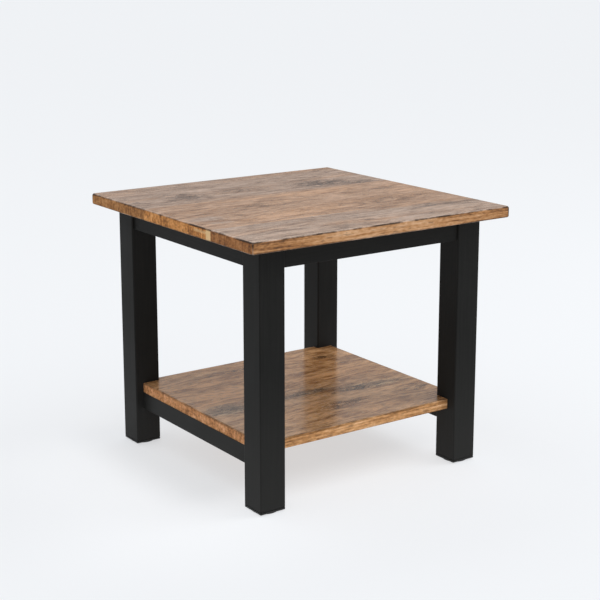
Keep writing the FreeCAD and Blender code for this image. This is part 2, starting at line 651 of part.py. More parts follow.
def new_screw(label, length):
    """A round-headed wood screw that points along Z, with its head's seat at Z 0."""
    radius = "screw_diameter / 2"
    head = "screw_head_diameter / 2"
    screw = turned(label, [
        ("0", "-screw_head_height"),
        (head, "-screw_head_height"),
        (head, "0"),
        (radius, "0"),
        (radius, f"{length} - screw_point"),
        ("0", length),
    ])
    crown = -value("screw_head_height")
    soften(screw, "Fillet", f"screw_head_height * {HEAD_ROUND_SHARE}", lambda edge: lies_at(edge, z=crown))
    return screw


def make_bracket_screws():
    screw = new_screw("bracket_screw", "bracket_screw_length")
    spots = []
    for corner, side_x, side_y, turn in CORNERS:
        cosine = TURN_COSINE[turn]
        sine = TURN_SINE[turn]
        for share in BRACKET_HOLE_SHARES:
            height = f"{APRON_MID} - bracket_height / 2 + bracket_height * {share}"
            for x, y, out_x, out_y in (
                ("bracket_plate", FLANGE_HOLE, -1, 0),
                (FLANGE_HOLE, "bracket_plate", 0, -1),
            ):
                place_x = f"{side_x} * {APRON_IN_X} + {cosine} * {x} - {sine} * {y}"
                place_y = f"{side_y} * {APRON_IN_Y} + {sine} * {x} + {cosine} * {y}"
                way = pointing(cosine * out_x - sine * out_y, sine * out_x + cosine * out_y, 0)
                spots.append(((place_x, place_y, height), way))
    group("bracket_screws", screw, spots)


def make_clips():
    """Steel clips hooked in the aprons' slots, with a screw each up into the top."""
    clip = new_body("clip")
    sketch = new_sketch(clip, "X", "-clip_width / 2")
    hook_base = "(-clip_drop - clip_plate)"
    draw_outline(sketch, [
        ("clip_gap", "0"),
        ("clip_gap", "-clip_drop"),
        ("-clip_hook", "-clip_drop"),
        ("-clip_hook", hook_base),
        ("clip_gap + clip_plate", hook_base),
        ("clip_gap + clip_plate", "-clip_plate"),
        ("clip_gap + clip_reach", "-clip_plate"),
        ("clip_gap + clip_reach", "0"),
    ])
    pad(clip, sketch, "clip_width")
    hole = "screw_diameter + 2 * screw_hole_gap"
    drill(clip, "Z", -1, "-clip_plate", "clip_plate + overrun", hole, [("0", CLIP_HOLE)])
    screw = new_screw("top_screw", "top_screw_length")
    clips = []
    screws = []
    seat = f"{TOP_UNDERSIDE} - clip_plate"
    up = pointing(0, 0, 1)
    for side in (-1, 1):
        for x in (f"-{CLIP_X}", CLIP_X):
            turn = Rotation(Vector(0, 0, 1), 0 if side < 0 else 180)
            clips.append(((x, f"{side} * {APRON_IN_Y}", TOP_UNDERSIDE), turn))
            screws.append(((x, f"{side} * ({APRON_IN_Y} - {CLIP_HOLE})", seat), up))
        for y in SIDE_CLIPS:
            turn = Rotation(Vector(0, 0, 1), side * 90)
            clips.append(((f"{side} * {APRON_IN_X}", y, TOP_UNDERSIDE), turn))
            screws.append(((f"{side} * ({APRON_IN_X} - {CLIP_HOLE})", y, seat), up))
    group("top_clips", clip, clips)
    group("top_screws", screw, screws)


def make_shelf_screws():
    screw = new_screw("shelf_screw", "(shelf_screw_grip + shelf_screw_bite)")
    seat = f"{SHELF_UNDERSIDE} - shelf_screw_grip"
    places = [place for board in shelf_screw_places() for place in board]
    spots = [((f"{side} * {RAIL_MID_X}", y, seat), pointing(0, 0, 1)) for side in (-1, 1) for y in places]
    group("shelf_screws", screw, spots)


def make_feet():
    """Screw-in feet: an insert in each leg's end, a threaded stem and the pad it turns in."""
    stem_radius = "(stem_diameter / 2)"
    bore = f"({stem_radius} + stem_gap)"
    insert = turned("insert", [
        (bore, "0"),
        ("insert_rim_diameter / 2", "0"),
        ("insert_rim_diameter / 2", "insert_rim_height"),
        ("insert_diameter / 2", "insert_rim_height"),
        ("insert_diameter / 2", "insert_length"),
        (bore, "insert_length"),
    ])
    upright_turn = pointing(0, 0, 1)
    inserts = []
    collar_base = "(pad_floor + collar_play / 2)"
    collar_top = f"({collar_base} + collar_height)"
    stem_top = "(foot_height + insert_length + foot_travel)"
    cavity = "(collar_diameter / 2 + stem_gap)"
    lip = "(pad_floor + collar_height + collar_play)"
    for corner, side_x, side_y, turn in CORNERS:
        x = f"{side_x} * {LEG_MID_X}"
        y = f"{side_y} * {LEG_MID_Y}"
        inserts.append(((x, y, "foot_height"), upright_turn))
        stem = turned(f"foot_stem_{corner}", [
            ("0", collar_base),
            ("collar_diameter / 2", collar_base),
            ("collar_diameter / 2", collar_top),
            (stem_radius, collar_top),
            (stem_radius, f"{stem_top} - stem_chamfer"),
            (f"{stem_radius} - stem_chamfer", stem_top),
            ("0", stem_top),
        ], (x, y, "0"))
        foot = turned(f"foot_pad_{corner}", [
            ("0", "0"),
            ("pad_diameter / 2", "0"),
            ("pad_diameter / 2", "foot_height"),
            (bore, "foot_height"),
            (bore, lip),
            (cavity, lip),
            (cavity, "pad_floor"),
            ("0", "pad_floor"),
        ], (x, y, "0"))
        for height, radius in (("0", "pad_lower_round"), ("foot_height", "pad_upper_round")):
            def rim(edge):
                wide = edge.BoundBox.XLength > value("pad_diameter") - SAME_PLACE
                return wide and lies_at(edge, z=value(height))
            soften(foot, "Fillet", radius, rim)
        subparts.extend([stem, foot])
    group("leg_inserts", insert, inserts)


def check_all():
    """Stop if a feature failed, a cut removed nothing or a sub-part isn't a sound solid."""
    for thing in doc.Objects:
        if {"Invalid", "Error"} & set(thing.State):
            raise RuntimeError(f"{thing.Label} failed")
        if thing.TypeId == "PartDesign::Pocket":
            removed = thing.BaseFeature.Shape.Volume - thing.Shape.Volume
            if removed < SAME_PLACE:
                raise RuntimeError(f"{thing.Label} cut nothing")
    for part in subparts:
        if part.Shape.isNull() or not part.Shape.isValid() or not part.Shape.Solids:
            raise RuntimeError(f"{part.Label} has no sound shape")


make_top()
make_shelf()
for corner_row in CORNERS:
    make_leg(*corner_row)
make_aprons()
make_rails()
make_dowels()
for corner_row in CORNERS:
    make_bracket(*corner_row)
make_bolts()
make_bracket_screws()
make_clips()
make_shelf_screws()
make_feet()
doc.recompute()
check_all()

os.makedirs("parts", exist_ok=True)
for part in subparts:
    part.Shape.exportStep(f"parts/{part.Label}.step")
    print(part.Label, len(part.Shape.Solids), round(part.Shape.Volume))
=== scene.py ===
import math
import bmesh
import bpy
from mathutils import Matrix, Vector


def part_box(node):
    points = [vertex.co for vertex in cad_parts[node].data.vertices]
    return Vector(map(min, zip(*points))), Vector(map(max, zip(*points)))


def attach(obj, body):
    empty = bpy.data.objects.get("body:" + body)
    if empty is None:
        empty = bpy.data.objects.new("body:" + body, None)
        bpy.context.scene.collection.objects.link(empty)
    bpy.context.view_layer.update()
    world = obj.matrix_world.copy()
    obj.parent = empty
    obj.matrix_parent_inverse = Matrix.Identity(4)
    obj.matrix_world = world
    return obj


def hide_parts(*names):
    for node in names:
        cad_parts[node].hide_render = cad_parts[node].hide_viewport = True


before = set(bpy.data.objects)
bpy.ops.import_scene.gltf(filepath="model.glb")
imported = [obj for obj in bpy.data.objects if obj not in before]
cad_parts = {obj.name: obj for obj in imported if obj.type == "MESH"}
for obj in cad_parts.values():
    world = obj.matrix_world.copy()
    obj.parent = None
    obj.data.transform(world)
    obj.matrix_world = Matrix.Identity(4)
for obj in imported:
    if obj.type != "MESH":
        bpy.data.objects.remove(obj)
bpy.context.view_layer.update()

# The finish of a square end table: lacquered brown planks on a black painted frame,
# zinc-plated fittings under the top and black levelling feet. Lengths are in metres,
# in the table's own frame: Z up, X along the grain, -Y the front.

TABLE = "table"
CORNERS = ("front_left", "front_right", "back_right", "back_left")
MM = 0.001

TOP_BOARDS = ("top_board_front", "top_board_middle", "top_board_back")
SHELF_BOARDS = ("shelf_board_front", "shelf_board_back")
LEGS = tuple(f"leg_{corner}" for corner in CORNERS)
CROSS_APRONS = ("apron_front", "apron_back")
SIDE_APRONS = ("apron_left", "apron_right", "shelf_rail_left", "shelf_rail_right")


class Nodes:
    """Short names for the nodes of a material or of the surround."""

    def __init__(self, tree):
        self.tree = tree

    def add(self, kind, **settings):
        node = self.tree.nodes.new(kind)
        for name, setting in settings.items():
            setattr(node, name, setting)
        return node

    def feed(self, socket, source):
        if isinstance(source, bpy.types.NodeSocket):
            self.tree.links.new(source, socket)
        else:
            socket.default_value = source

    def math(self, operation, first, second=0.0, clamp=False):
        node = self.add("ShaderNodeMath", operation=operation, use_clamp=clamp)
        self.feed(node.inputs[0], first)
        self.feed(node.inputs[1], second)
        return node.outputs[0]

    def sum(self, *terms):
        total = terms[0]
        for term in terms[1:]:
            total = self.math("ADD", total, term)
        return total

    def scaled(self, source, share):
        return self.math("MULTIPLY", source, share)

    def weighed(self, shares, parts):
        """The sum of the named parts, each times its share."""
        return self.sum(*(self.scaled(parts[name], share) for name, share in shares.items()))

    def vector(self, operation, first, second=(0, 0, 0)):
        node = self.add("ShaderNodeVectorMath", operation=operation)
        self.feed(node.inputs[0], first)
        self.feed(node.inputs[1], second)
        return node.outputs["Value" if operation in ("LENGTH", "DOT_PRODUCT") else "Vector"]

    def mapped(self, source, move=(0, 0, 0), turn=(0, 0, 0), scale=(1, 1, 1)):
        node = self.add("ShaderNodeMapping")
        self.feed(node.inputs["Vector"], source)
        node.inputs["Location"].default_value = move
        node.inputs["Rotation"].default_value = turn
        node.inputs["Scale"].default_value = scale
        return node.outputs[0]

    def split(self, source):
        node = self.add("ShaderNodeSeparateXYZ")
        self.feed(node.inputs[0], source)
        return node.outputs

    def noise(self, source, scale, move=(0, 0, 0), detail=3.0, rough=0.55, bend=0.0):
        node = self.add("ShaderNodeTexNoise")
        self.feed(node.inputs["Vector"], self.mapped(source, move=move, scale=scale))
        node.inputs["Scale"].default_value = 1.0
        node.inputs["Detail"].default_value = detail
        node.inputs["Roughness"].default_value = rough
        node.inputs["Distortion"].default_value = bend
        return node.outputs["Fac"]

    def cells(self, source, scale):
        node = self.add("ShaderNodeTexVoronoi", feature="F1")
        self.feed(node.inputs["Vector"], self.mapped(source, scale=scale))
        node.inputs["Scale"].default_value = 1.0
        return node.outputs["Distance"]

    def fade(self, source, low, high, start=0.0, end=1.0):
        """A smooth step from start to end while the source goes from low to high."""
        node = self.add("ShaderNodeMapRange", interpolation_type="SMOOTHSTEP")
        limits = {"From Min": low, "From Max": high, "To Min": start, "To Max": end}
        for name, number in limits.items():
            node.inputs[name].default_value = number
        self.feed(node.inputs["Value"], source)
        return node.outputs["Result"]

    def ramp(self, source, *stops):
        node = self.add("ShaderNodeValToRGB")
        for number, (place, colour) in enumerate(stops):
            if number < 2:
                stop = node.color_ramp.elements[number]
                stop.position = place
            else:
                stop = node.color_ramp.elements.new(place)
            stop.color = (*colour, 1.0)
        self.feed(node.inputs["Fac"], source)
        return node.outputs["Color"]

    def mix(self, share, first, second, kind="MIX"):
        node = self.add("ShaderNodeMix", data_type="RGBA", blend_type=kind)
        self.feed(node.inputs["Factor"], share)
        for socket, source in ((node.inputs[6], first), (node.inputs[7], second)):
            self.feed(socket, (*source, 1.0) if isinstance(source, tuple) else source)
        return node.outputs[2]

    def between(self, share, first, second):
        """A number between the first and the second."""
        node = self.add("ShaderNodeMix")
        for number, source in ((0, share), (2, first), (3, second)):
            self.feed(node.inputs[number], source)
        return node.outputs[0]


class Finish(Nodes):
    """A material with its shader and its place on the piece."""

    def __init__(self, name):
        self.material = bpy.data.materials.new(name)
        self.material.use_nodes = True
        super().__init__(self.material.node_tree)
        self.shader = self.tree.nodes["Principled BSDF"]
        self.place = self.add("ShaderNodeTexCoord").outputs["Object"]

    def set(self, **values):
        for name, source in values.items():
            self.feed(self.shader.inputs[name.replace("_", " ")], source)

    def relief(self, height, depth):
        node = self.add("ShaderNodeBump")
        node.inputs["Strength"].default_value = 1.0
        node.inputs["Distance"].default_value = depth
        self.feed(node.inputs["Height"], height)
        return node.outputs["Normal"]


# Plank wood: growth rings round a pith that lies below the board, bent round knots, with
# streaks, curled veins, open pores and greyed, honey-coloured and stained places. Each
# palette runs from the darkest grain to the palest, and its colours are linear.

GOLDEN = (
    (0.37, 0.175, 0.075), (0.51, 0.265, 0.130), (0.633, 0.355, 0.191), (0.755, 0.440, 0.250),
    (0.91, 0.54, 0.325),
)
GREYED = (
    (0.34, 0.235, 0.175), (0.48, 0.350, 0.272), (0.605, 0.460, 0.371), (0.72, 0.555, 0.455),
    (0.84, 0.66, 0.555),
)
SAWN = (
    (0.09, 0.034, 0.010), (0.26, 0.098, 0.022), (0.46, 0.190, 0.048), (0.62, 0.295, 0.100),
    (0.80, 0.45, 0.20),
)
FACE_STEPS = (-0.100, -0.053, 0.0, 0.053, 0.110)
FACE_MEAN = 0.545
SAWN_STEPS = (0.345, 0.43, 0.51, 0.59, 0.70)
UMBER = (0.085, 0.034, 0.013)
STAIN = (0.036, 0.019, 0.011)
# Dark stain and painted shade laid on the arrises and upright corners.
STAIN_AND_SHADE_COLOUR = (0.022, 0.009, 0.004)
PALE_WOOD = (0.82, 0.55, 0.27)


class Board:
    """What sets one plank apart from the next.

    Knots are (x, y, radius) and patches are (x, y, length, width, strength). Worn places of
    the left end, bared to pale wood, are (y, z, width, height, strength). The satin of the
    lacquer is its roughness and the depth of the grain in it.
    """

    contrast = 1.2
    knots = stains = greys = glows = worn = pale_edges = ()

    def __init__(self, **traits):
        vars(self).update(traits)


# The sawn ends and sides are tinted apart, partly for the real tone of end and long grain and
# partly as painted light, set by which way each face looks.
TOP_SIDE = (0.93, 1.00, 1.25)
TOP_SATIN = (0.13, 0.08 * MM)
TOP_ARRIS = 0.92
SHELF_END = (1.18, 1.24, 1.72)
SHELF_SIDE = (1.28, 1.48, 1.98)
SHELF_SHADE = (0.74, 0.67, 0.50)
SHELF_SATIN = (0.11, 0.08 * MM)
SHELF_ARRIS = 0.45
SHELF_CONTRAST = 1.65
BOARDS = {
    "top_board_front": Board(
        pith=(-0.26, 0.43), tilt=0.05, seed=11.3, grey=0.76, shade=(0.725, 0.715, 0.70),
        end_tint=(0.77, 0.74, 0.80), side_tint=TOP_SIDE, satin=TOP_SATIN, arris=TOP_ARRIS,
        knots=((-0.010, -0.238, 0.005), (0.215, -0.262, 0.004)),
        stains=((0.19, -0.185, 0.18, 0.035, 0.7), (-0.010, -0.238, 0.06, 0.03, 0.6)),
        greys=((-0.12, -0.180, 0.34, 0.045, 0.7), (0.20, -0.185, 0.26, 0.05, 0.85)),
        glows=((-0.20, -0.27, 0.2, 0.03, 0.35), (0.05, -0.215, 0.2, 0.02, 0.3)),
        pale_edges=((0.0, -0.295, 0.34, 0.06, 1.0),),
    ),
    "top_board_middle": Board(
        pith=(-0.02, 0.45), tilt=-0.09, seed=3.7, grey=0.22, shade=(0.75, 0.745, 0.74),
        end_tint=(1.26, 1.26, 1.24), side_tint=TOP_SIDE, satin=TOP_SATIN, arris=TOP_ARRIS,
        knots=((0.205, 0.018, 0.007),),
        stains=(
            (0.19, -0.11, 0.2, 0.06, 0.4), (-0.09, -0.015, 0.17, 0.055, 0.5),
            (0.21, 0.015, 0.08, 0.04, 0.7),
        ),
        greys=((-0.250, -0.072, 0.100, 0.036, 0.95), (-0.243, -0.106, 0.080, 0.030, 0.85)),
        glows=(
            (0.08, 0.045, 0.22, 0.05, 1.0), (-0.07, 0.052, 0.2, 0.02, 0.9),
            (-0.10, -0.115, 0.25, 0.05, 0.8), (-0.115, -0.153, 0.31, 0.011, 1.6),
            (0.25, -0.03, 0.12, 0.07, 0.4),
        ),
        worn=((-0.153, 0.504, 0.017, 0.030, 1.0), (-0.128, 0.507, 0.050, 0.005, 0.55)),
    ),
    "top_board_back": Board(
        pith=(0.17, 0.44), tilt=0.07, seed=7.9, grey=0.66, shade=(0.715, 0.71, 0.705),
        end_tint=(0.84, 0.87, 0.93), side_tint=TOP_SIDE, satin=TOP_SATIN, arris=TOP_ARRIS,
        knots=((-0.164, 0.143, 0.010), (0.147, 0.139, 0.010), (0.228, 0.101, 0.005)),
        stains=(
            (-0.164, 0.145, 0.12, 0.085, 1.0), (0.150, 0.137, 0.17, 0.075, 1.0),
            (0.225, 0.102, 0.09, 0.045, 0.9), (-0.03, 0.15, 0.16, 0.06, 0.6),
            (-0.27, 0.139, 0.03, 0.03, 1.0),
        ),
        greys=((-0.03, 0.16, 0.2, 0.07, 0.6), (0.10, 0.24, 0.3, 0.05, 0.4)),
        glows=((-0.02, 0.27, 0.3, 0.02, 0.3), (-0.2, 0.09, 0.15, 0.015, 0.5)),
    ),
    "shelf_board_front": Board(
        pith=(-0.13, 0.05), tilt=0.08, seed=15.1, grey=0.30, shade=SHELF_SHADE,
        end_tint=SHELF_END, side_tint=SHELF_SIDE, satin=SHELF_SATIN, arris=SHELF_ARRIS,
        contrast=SHELF_CONTRAST,
        knots=((0.150, -0.072, 0.006), (0.195, -0.137, 0.006)),
        stains=(
            (0.125, -0.072, 0.22, 0.06, 1.0), (0.195, -0.138, 0.09, 0.055, 1.0),
            (-0.188, -0.042, 0.12, 0.06, 0.9), (0.0, -0.045, 0.16, 0.045, 0.9),
            (0.02, -0.150, 0.13, 0.05, 0.9),
        ),
        greys=(
            (-0.188, -0.042, 0.13, 0.07, 1.4), (0.0, -0.045, 0.18, 0.05, 1.2),
            (0.13, -0.07, 0.24, 0.06, 1.2), (0.195, -0.138, 0.09, 0.055, 0.7),
        ),
        glows=((-0.10, -0.13, 0.25, 0.06, 0.6), (0.05, -0.20, 0.3, 0.035, 0.5)),
    ),
    "shelf_board_back": Board(
        pith=(0.10, 0.06), tilt=-0.07, seed=21.7, grey=0.12, shade=SHELF_SHADE,
        end_tint=SHELF_END, side_tint=SHELF_SIDE, satin=SHELF_SATIN, arris=SHELF_ARRIS,
        contrast=SHELF_CONTRAST,
        knots=((0.168, 0.140, 0.006),),
        stains=(
            (-0.06, 0.155, 0.2, 0.025, 0.9), (0.168, 0.140, 0.07, 0.045, 0.6),
            (-0.19, 0.10, 0.07, 0.03, 0.6),
        ),
        greys=((-0.1, 0.165, 0.16, 0.03, 0.5), (0.2, 0.10, 0.1, 0.05, 0.4)),
        glows=(
            (-0.12, 0.115, 0.22, 0.035, 0.7), (-0.14, 0.035, 0.2, 0.04, 0.5),
            (0.10, 0.03, 0.2, 0.04, 0.4),
        ),
    ),
}

# How a board's seed moves its noise along X, Y and Z.
SEED_SPREAD = (1.0, 1.7, 0.6)

# How fine each layer of the figure is, as waves to the metre along X, Y and Z.
WANDER = (2.2, 9, 9)
RIPPLE = (14, 40, 40)
UNEVEN = (6, 60, 60)
BANDS = (2.2, 14, 14)
MOTTLE = (11, 40, 40)
FLAKE = (34, 105, 105)
STREAKS = (12, 120, 120)
FIBRES = (46, 480, 480)
PORES = (90, 1000, 1000)
FLECKS = (44, 230, 230)
CURL = (17, 60, 60)
HAZE = (3, 18, 18)
SAW_STROKES = (30, 230, 30)
BLOTCHES = (18, 26, 60)
SPECKLE = (90, 180, 240)
STRIPES = (9, 90, 300)
BROKEN = (26, 26, 26)

# Where each layer starts and is full, on its own scale.
KNOT_EDGE = (5.5, 0.2)
CORE_EDGE = (1.15, 0.55)
LATE_RISE = (0.1, 0.8)
LATE_FALL = (1.0, 0.86)
PORE_EDGE = (0.58, 0.68)
FLECK_EDGE = (0.57, 0.68)
VEIN_EDGE = (0.040, 0.006)
DARK_EDGE = (0.50, 0.66)
HAZE_EDGE = (0.22, 0.56)
MOTTLED_CORE = (0.34, 0.62)
PATCH_EDGE = (1.25, 0.25)
WORN_EDGE = (1.15, 0.7)
BARED_EDGE = (0.20, 0.44)
FACING_EDGE = (0.6, 0.9)
BROKEN_ABOVE = (0.36, 0.60)
BROKEN_BELOW = (0.62, 0.40)

# What share each layer has in a tone, in the dulling of the lacquer and in the relief.
SWAY_SHARES = {"wander": 0.085, "ripple": 0.014}
SWAY_LIFT = -0.0495
TONE_SHARES = {
    "bands": 0.18, "mottle": 0.26, "flake": 0.26, "streaks": 0.28, "fibres": 0.14,
    "late": -0.03, "glow": 0.10, "stain": -0.17, "dull": -0.035,
}
TONE_LIFT = 0.008
DARK_SHARES = {"curl": 0.6, "streaks": 0.5}
END_SHARES = {"strokes": 0.42, "blotches": 0.32, "speckle": 0.36}
END_LIFT = -0.04
SIDE_SHARES = {"stripes": 0.60, "blotches": 0.22, "speckle": 0.36}
SIDE_LIFT = -0.08
DULL_SHARES = {"streaks": 0.12, "pore": 0.2, "side": 0.55, "end": 0.7, "edge_stain_and_shade": 0.6}
RELIEF_SHARES = {"streaks": 0.5, "fibres": 0.35, "pore": -0.6, "late": 0.15, "vein": -0.6}
RAGGED_LIFT = -0.45
DULL_LIFT = 0.2
UNEVEN_SHARE = 1.3
GLOW_CLEARS = 0.6
VEIN_SHARE = 0.85
VEIN_LIFT = 0.14
FLECK_SHARE = 0.42
SAWN_FLECK_SHARE = 0.45
PORE_SHARE = 0.45
CORE_SHARE = 0.75
PALE_EDGE_SHARE = 0.11

RING_WIDTH = 11 * MM
KNOT_LENGTH = 1.9
KNOT_RINGS = 2.6
# The arris marks: stain with painted shade along the upper arrises, painted shade along the lower
# arrises and on the upright corners, broader at the picture's left and right corners.
UPPER_BAND = (3.8 * MM, 2.7 * MM)
LOWER_SHADE_BAND = (3.3 * MM, 2.1 * MM)
LOWER_SHADE_SHARE = 0.7
CORNER_SHADE_BAND = (5.2 * MM, 3.9 * MM)
CORNER_SHADE_SHARE = 0.9
CORNER_ROUND = 6 * MM
CORNER_FADE = 0.09
PICTURE_CORNER_SHADE = 1.8 * MM
LACQUER_GLOSS = 0.5


def patch(wood, point, spot):
    """Strongest in the middle of a patch of a board, falling to 0 past its edge."""
    x, y, length, width, strength = spot
    scale = (2 / length, 2 / width, 0)
    flat = wood.mapped(point, move=(-x * scale[0], -y * scale[1], 0), scale=scale)
    return wood.fade(wood.vector("LENGTH", flat), *PATCH_EDGE, end=strength)


def patches(wood, point, spots):
    total = patch(wood, point, spots[0])
    for spot in spots[1:]:
        total = wood.math("MAXIMUM", total, patch(wood, point, spot))
    return total


def worn_place(wood, spot):
    """Strongest on a worn place of the board's left end, with a soft edge."""
    y, z, width, height, strength = spot
    scale = (0, 2 / width, 2 / height)
    flat = wood.mapped(wood.place, move=(0, -y * scale[1], -z * scale[2]), scale=scale)
    away = wood.split(wood.vector("ABSOLUTE", flat))
    inside = wood.math("MAXIMUM", away[1], away[2])
    left = wood.math("LESS_THAN", wood.split(wood.place)[0], 0.0)
    return wood.math("MULTIPLY", wood.fade(inside, *WORN_EDGE, end=strength), left)


def panel_box(name):
    """The lowest and highest corners of the glued-up panel that a board belongs to."""
    boards = TOP_BOARDS if name in TOP_BOARDS else SHELF_BOARDS
    boxes = [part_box(board) for board in boards]
    low = [min(box[0][axis] for box in boxes) for axis in range(3)]
    high = [max(box[1][axis] for box in boxes) for axis in range(3)]
    return Vector(low), Vector(high)


def outer_edges(wood, low, high):
    """How far a point is from the panel's upper, lower and upright outer arrises.

    The upright arrises at the left and right of the picture get a broader band of painted shade.
    """
    x, y, z = wood.split(wood.place)

    def inside(at, start, end):
        from_start = wood.math("SUBTRACT", at, start)
        return wood.math("MINIMUM", from_start, wood.math("SUBTRACT", end, at))
    out_x = inside(x, low.x, high.x)
    out_y = inside(y, low.y, high.y)
    in_corner = wood.add("ShaderNodeCombineXYZ")
    for socket, out in (("X", out_x), ("Y", out_y)):
        short = wood.math("MAXIMUM", wood.math("SUBTRACT", CORNER_ROUND, out), 0.0)
        wood.feed(in_corner.inputs[socket], short)
    out = wood.math("SUBTRACT", CORNER_ROUND, wood.vector("LENGTH", in_corner.outputs[0]))
    below = wood.math("SUBTRACT", high.z, z)
    upper = wood.math("ADD", out, below)
    lower = wood.math("ADD", out, wood.math("SUBTRACT", z, low.z))
    # Painted shade: the corners at the left and right of the picture get a broader band.
    broad = wood.math("LESS_THAN", wood.math("MULTIPLY", x, y), 0.0)
    upright = wood.sum(
        out_x, out_y, wood.scaled(below, CORNER_FADE), wood.scaled(broad, -PICTURE_CORNER_SHADE),
    )
    return upper, lower, upright


def wandering_grain(wood, seed):
    """The place on the board, swayed a little across the grain."""
    layers = {
        "wander": wood.noise(wood.place, WANDER, move=seed, detail=2),
        "ripple": wood.noise(wood.place, RIPPLE, move=seed, detail=2),
    }
    shift = wood.add("ShaderNodeCombineXYZ")
    wood.feed(shift.inputs["Y"], wood.sum(wood.weighed(SWAY_SHARES, layers), SWAY_LIFT))
    return wood.vector("ADD", wood.place, shift.outputs[0])


def growth_rings(wood, board, grain, seed):
    """The late wood of the rings, which close round each knot, and the knots' cores."""
    pith_y, pith_z = board.pith
    rings_at = wood.mapped(grain, move=(0, -pith_y, -pith_z), turn=(0, board.tilt, 0))
    radius = wood.vector("LENGTH", wood.vector("MULTIPLY", rings_at, (0, 1, 1)))
    phase = wood.scaled(radius, 1 / RING_WIDTH)
    core = 0.0
    for x, y, size in board.knots:
        scale = (1 / (size * KNOT_LENGTH), 1 / size, 0)
        flat = wood.mapped(grain, move=(-x * scale[0], -y * scale[1], 0), scale=scale)
        reach = wood.vector("LENGTH", flat)
        phase = wood.math("ADD", phase, wood.fade(reach, *KNOT_EDGE, end=KNOT_RINGS))
        core = wood.math("MAXIMUM", core, wood.fade(reach, *CORE_EDGE))
    uneven = wood.noise(grain, UNEVEN, move=seed)
    ring = wood.math("FRACT", wood.math("ADD", phase, wood.scaled(uneven, UNEVEN_SHARE)))
    late = wood.math("MULTIPLY", wood.fade(ring, *LATE_RISE), wood.fade(ring, *LATE_FALL))
    return late, core


def grain_layers(wood, grain, seed):
    """From broad bands down to single fibres, with curled veins, flecks and open pores."""
    turned = seed[::-1]
    pores = wood.noise(grain, PORES, move=seed, detail=1)
    flecks = wood.noise(grain, FLECKS, move=turned, detail=2)
    curl = wood.noise(grain, CURL, move=seed, detail=6, rough=0.68, bend=1.2)
    off_middle = wood.math("ABSOLUTE", wood.math("SUBTRACT", curl, 0.5))
    return {
        "bands": wood.noise(grain, BANDS, move=seed),
        "mottle": wood.noise(grain, MOTTLE, move=seed, detail=4, rough=0.6, bend=0.8),
        "flake": wood.noise(grain, FLAKE, move=turned, rough=0.6, bend=0.6),
        "streaks": wood.noise(grain, STREAKS, move=seed, detail=4, rough=0.6),
        "fibres": wood.noise(grain, FIBRES, move=seed, rough=0.6),
        "pore": wood.fade(pores, *PORE_EDGE),
        "flecks": wood.fade(flecks, *FLECK_EDGE),
        "curl": curl,
        "veins": wood.fade(off_middle, *VEIN_EDGE),
    }


def face_colour(wood, board, grain, seed, layers):
    """The lacquered faces: honey-coloured places are paler and knotty ones darker.

    What is worked out for them joins the layers, because the relief takes it up too.
    """
    late, core = growth_rings(wood, board, grain, seed)
    ragged = wood.sum(layers["streaks"], layers["mottle"], RAGGED_LIFT)
    glow = wood.math("MULTIPLY", patches(wood, grain, board.glows), ragged, clamp=True)
    knotty = patches(wood, grain, board.stains)
    dark = wood.fade(wood.weighed(DARK_SHARES, layers), *DARK_EDGE)
    stain = wood.math("MULTIPLY", knotty, dark, clamp=True)
    greys = patches(wood, grain, board.greys)
    dull = wood.math("MULTIPLY", greys, wood.sum(ragged, DULL_LIFT), clamp=True)
    layers.update(late=late, glow=glow, stain=stain, dull=dull)
    tone = wood.sum(wood.weighed(TONE_SHARES, layers), TONE_LIFT)
    haze = wood.noise(grain, HAZE, move=seed[::-1], detail=4)
    greyed = wood.math("MAXIMUM", dull, wood.fade(haze, *HAZE_EDGE, end=board.grey))
    greyed = wood.math("SUBTRACT", greyed, wood.scaled(glow, GLOW_CLEARS), clamp=True)
    steps = [FACE_MEAN + step / board.contrast for step in FACE_STEPS]
    golden = wood.ramp(tone, *zip(steps, GOLDEN))
    colour = wood.mix(greyed, golden, wood.ramp(tone, *zip(steps, GREYED)))
    strength = wood.sum(wood.scaled(knotty, VEIN_SHARE), VEIN_LIFT)
    layers["vein"] = wood.math("MULTIPLY", layers["veins"], strength, clamp=True)
    colour = wood.mix(layers["vein"], colour, STAIN)
    colour = wood.mix(wood.scaled(layers["flecks"], FLECK_SHARE), colour, UMBER)
    colour = wood.mix(wood.scaled(layers["pore"], PORE_SHARE), colour, STAIN)
    mottled = wood.fade(layers["mottle"], *MOTTLED_CORE, end=CORE_SHARE)
    colour = wood.mix(wood.math("MULTIPLY", core, mottled, clamp=True), colour, UMBER)
    return wood.mix(1.0, colour, board.shade, kind="MULTIPLY")


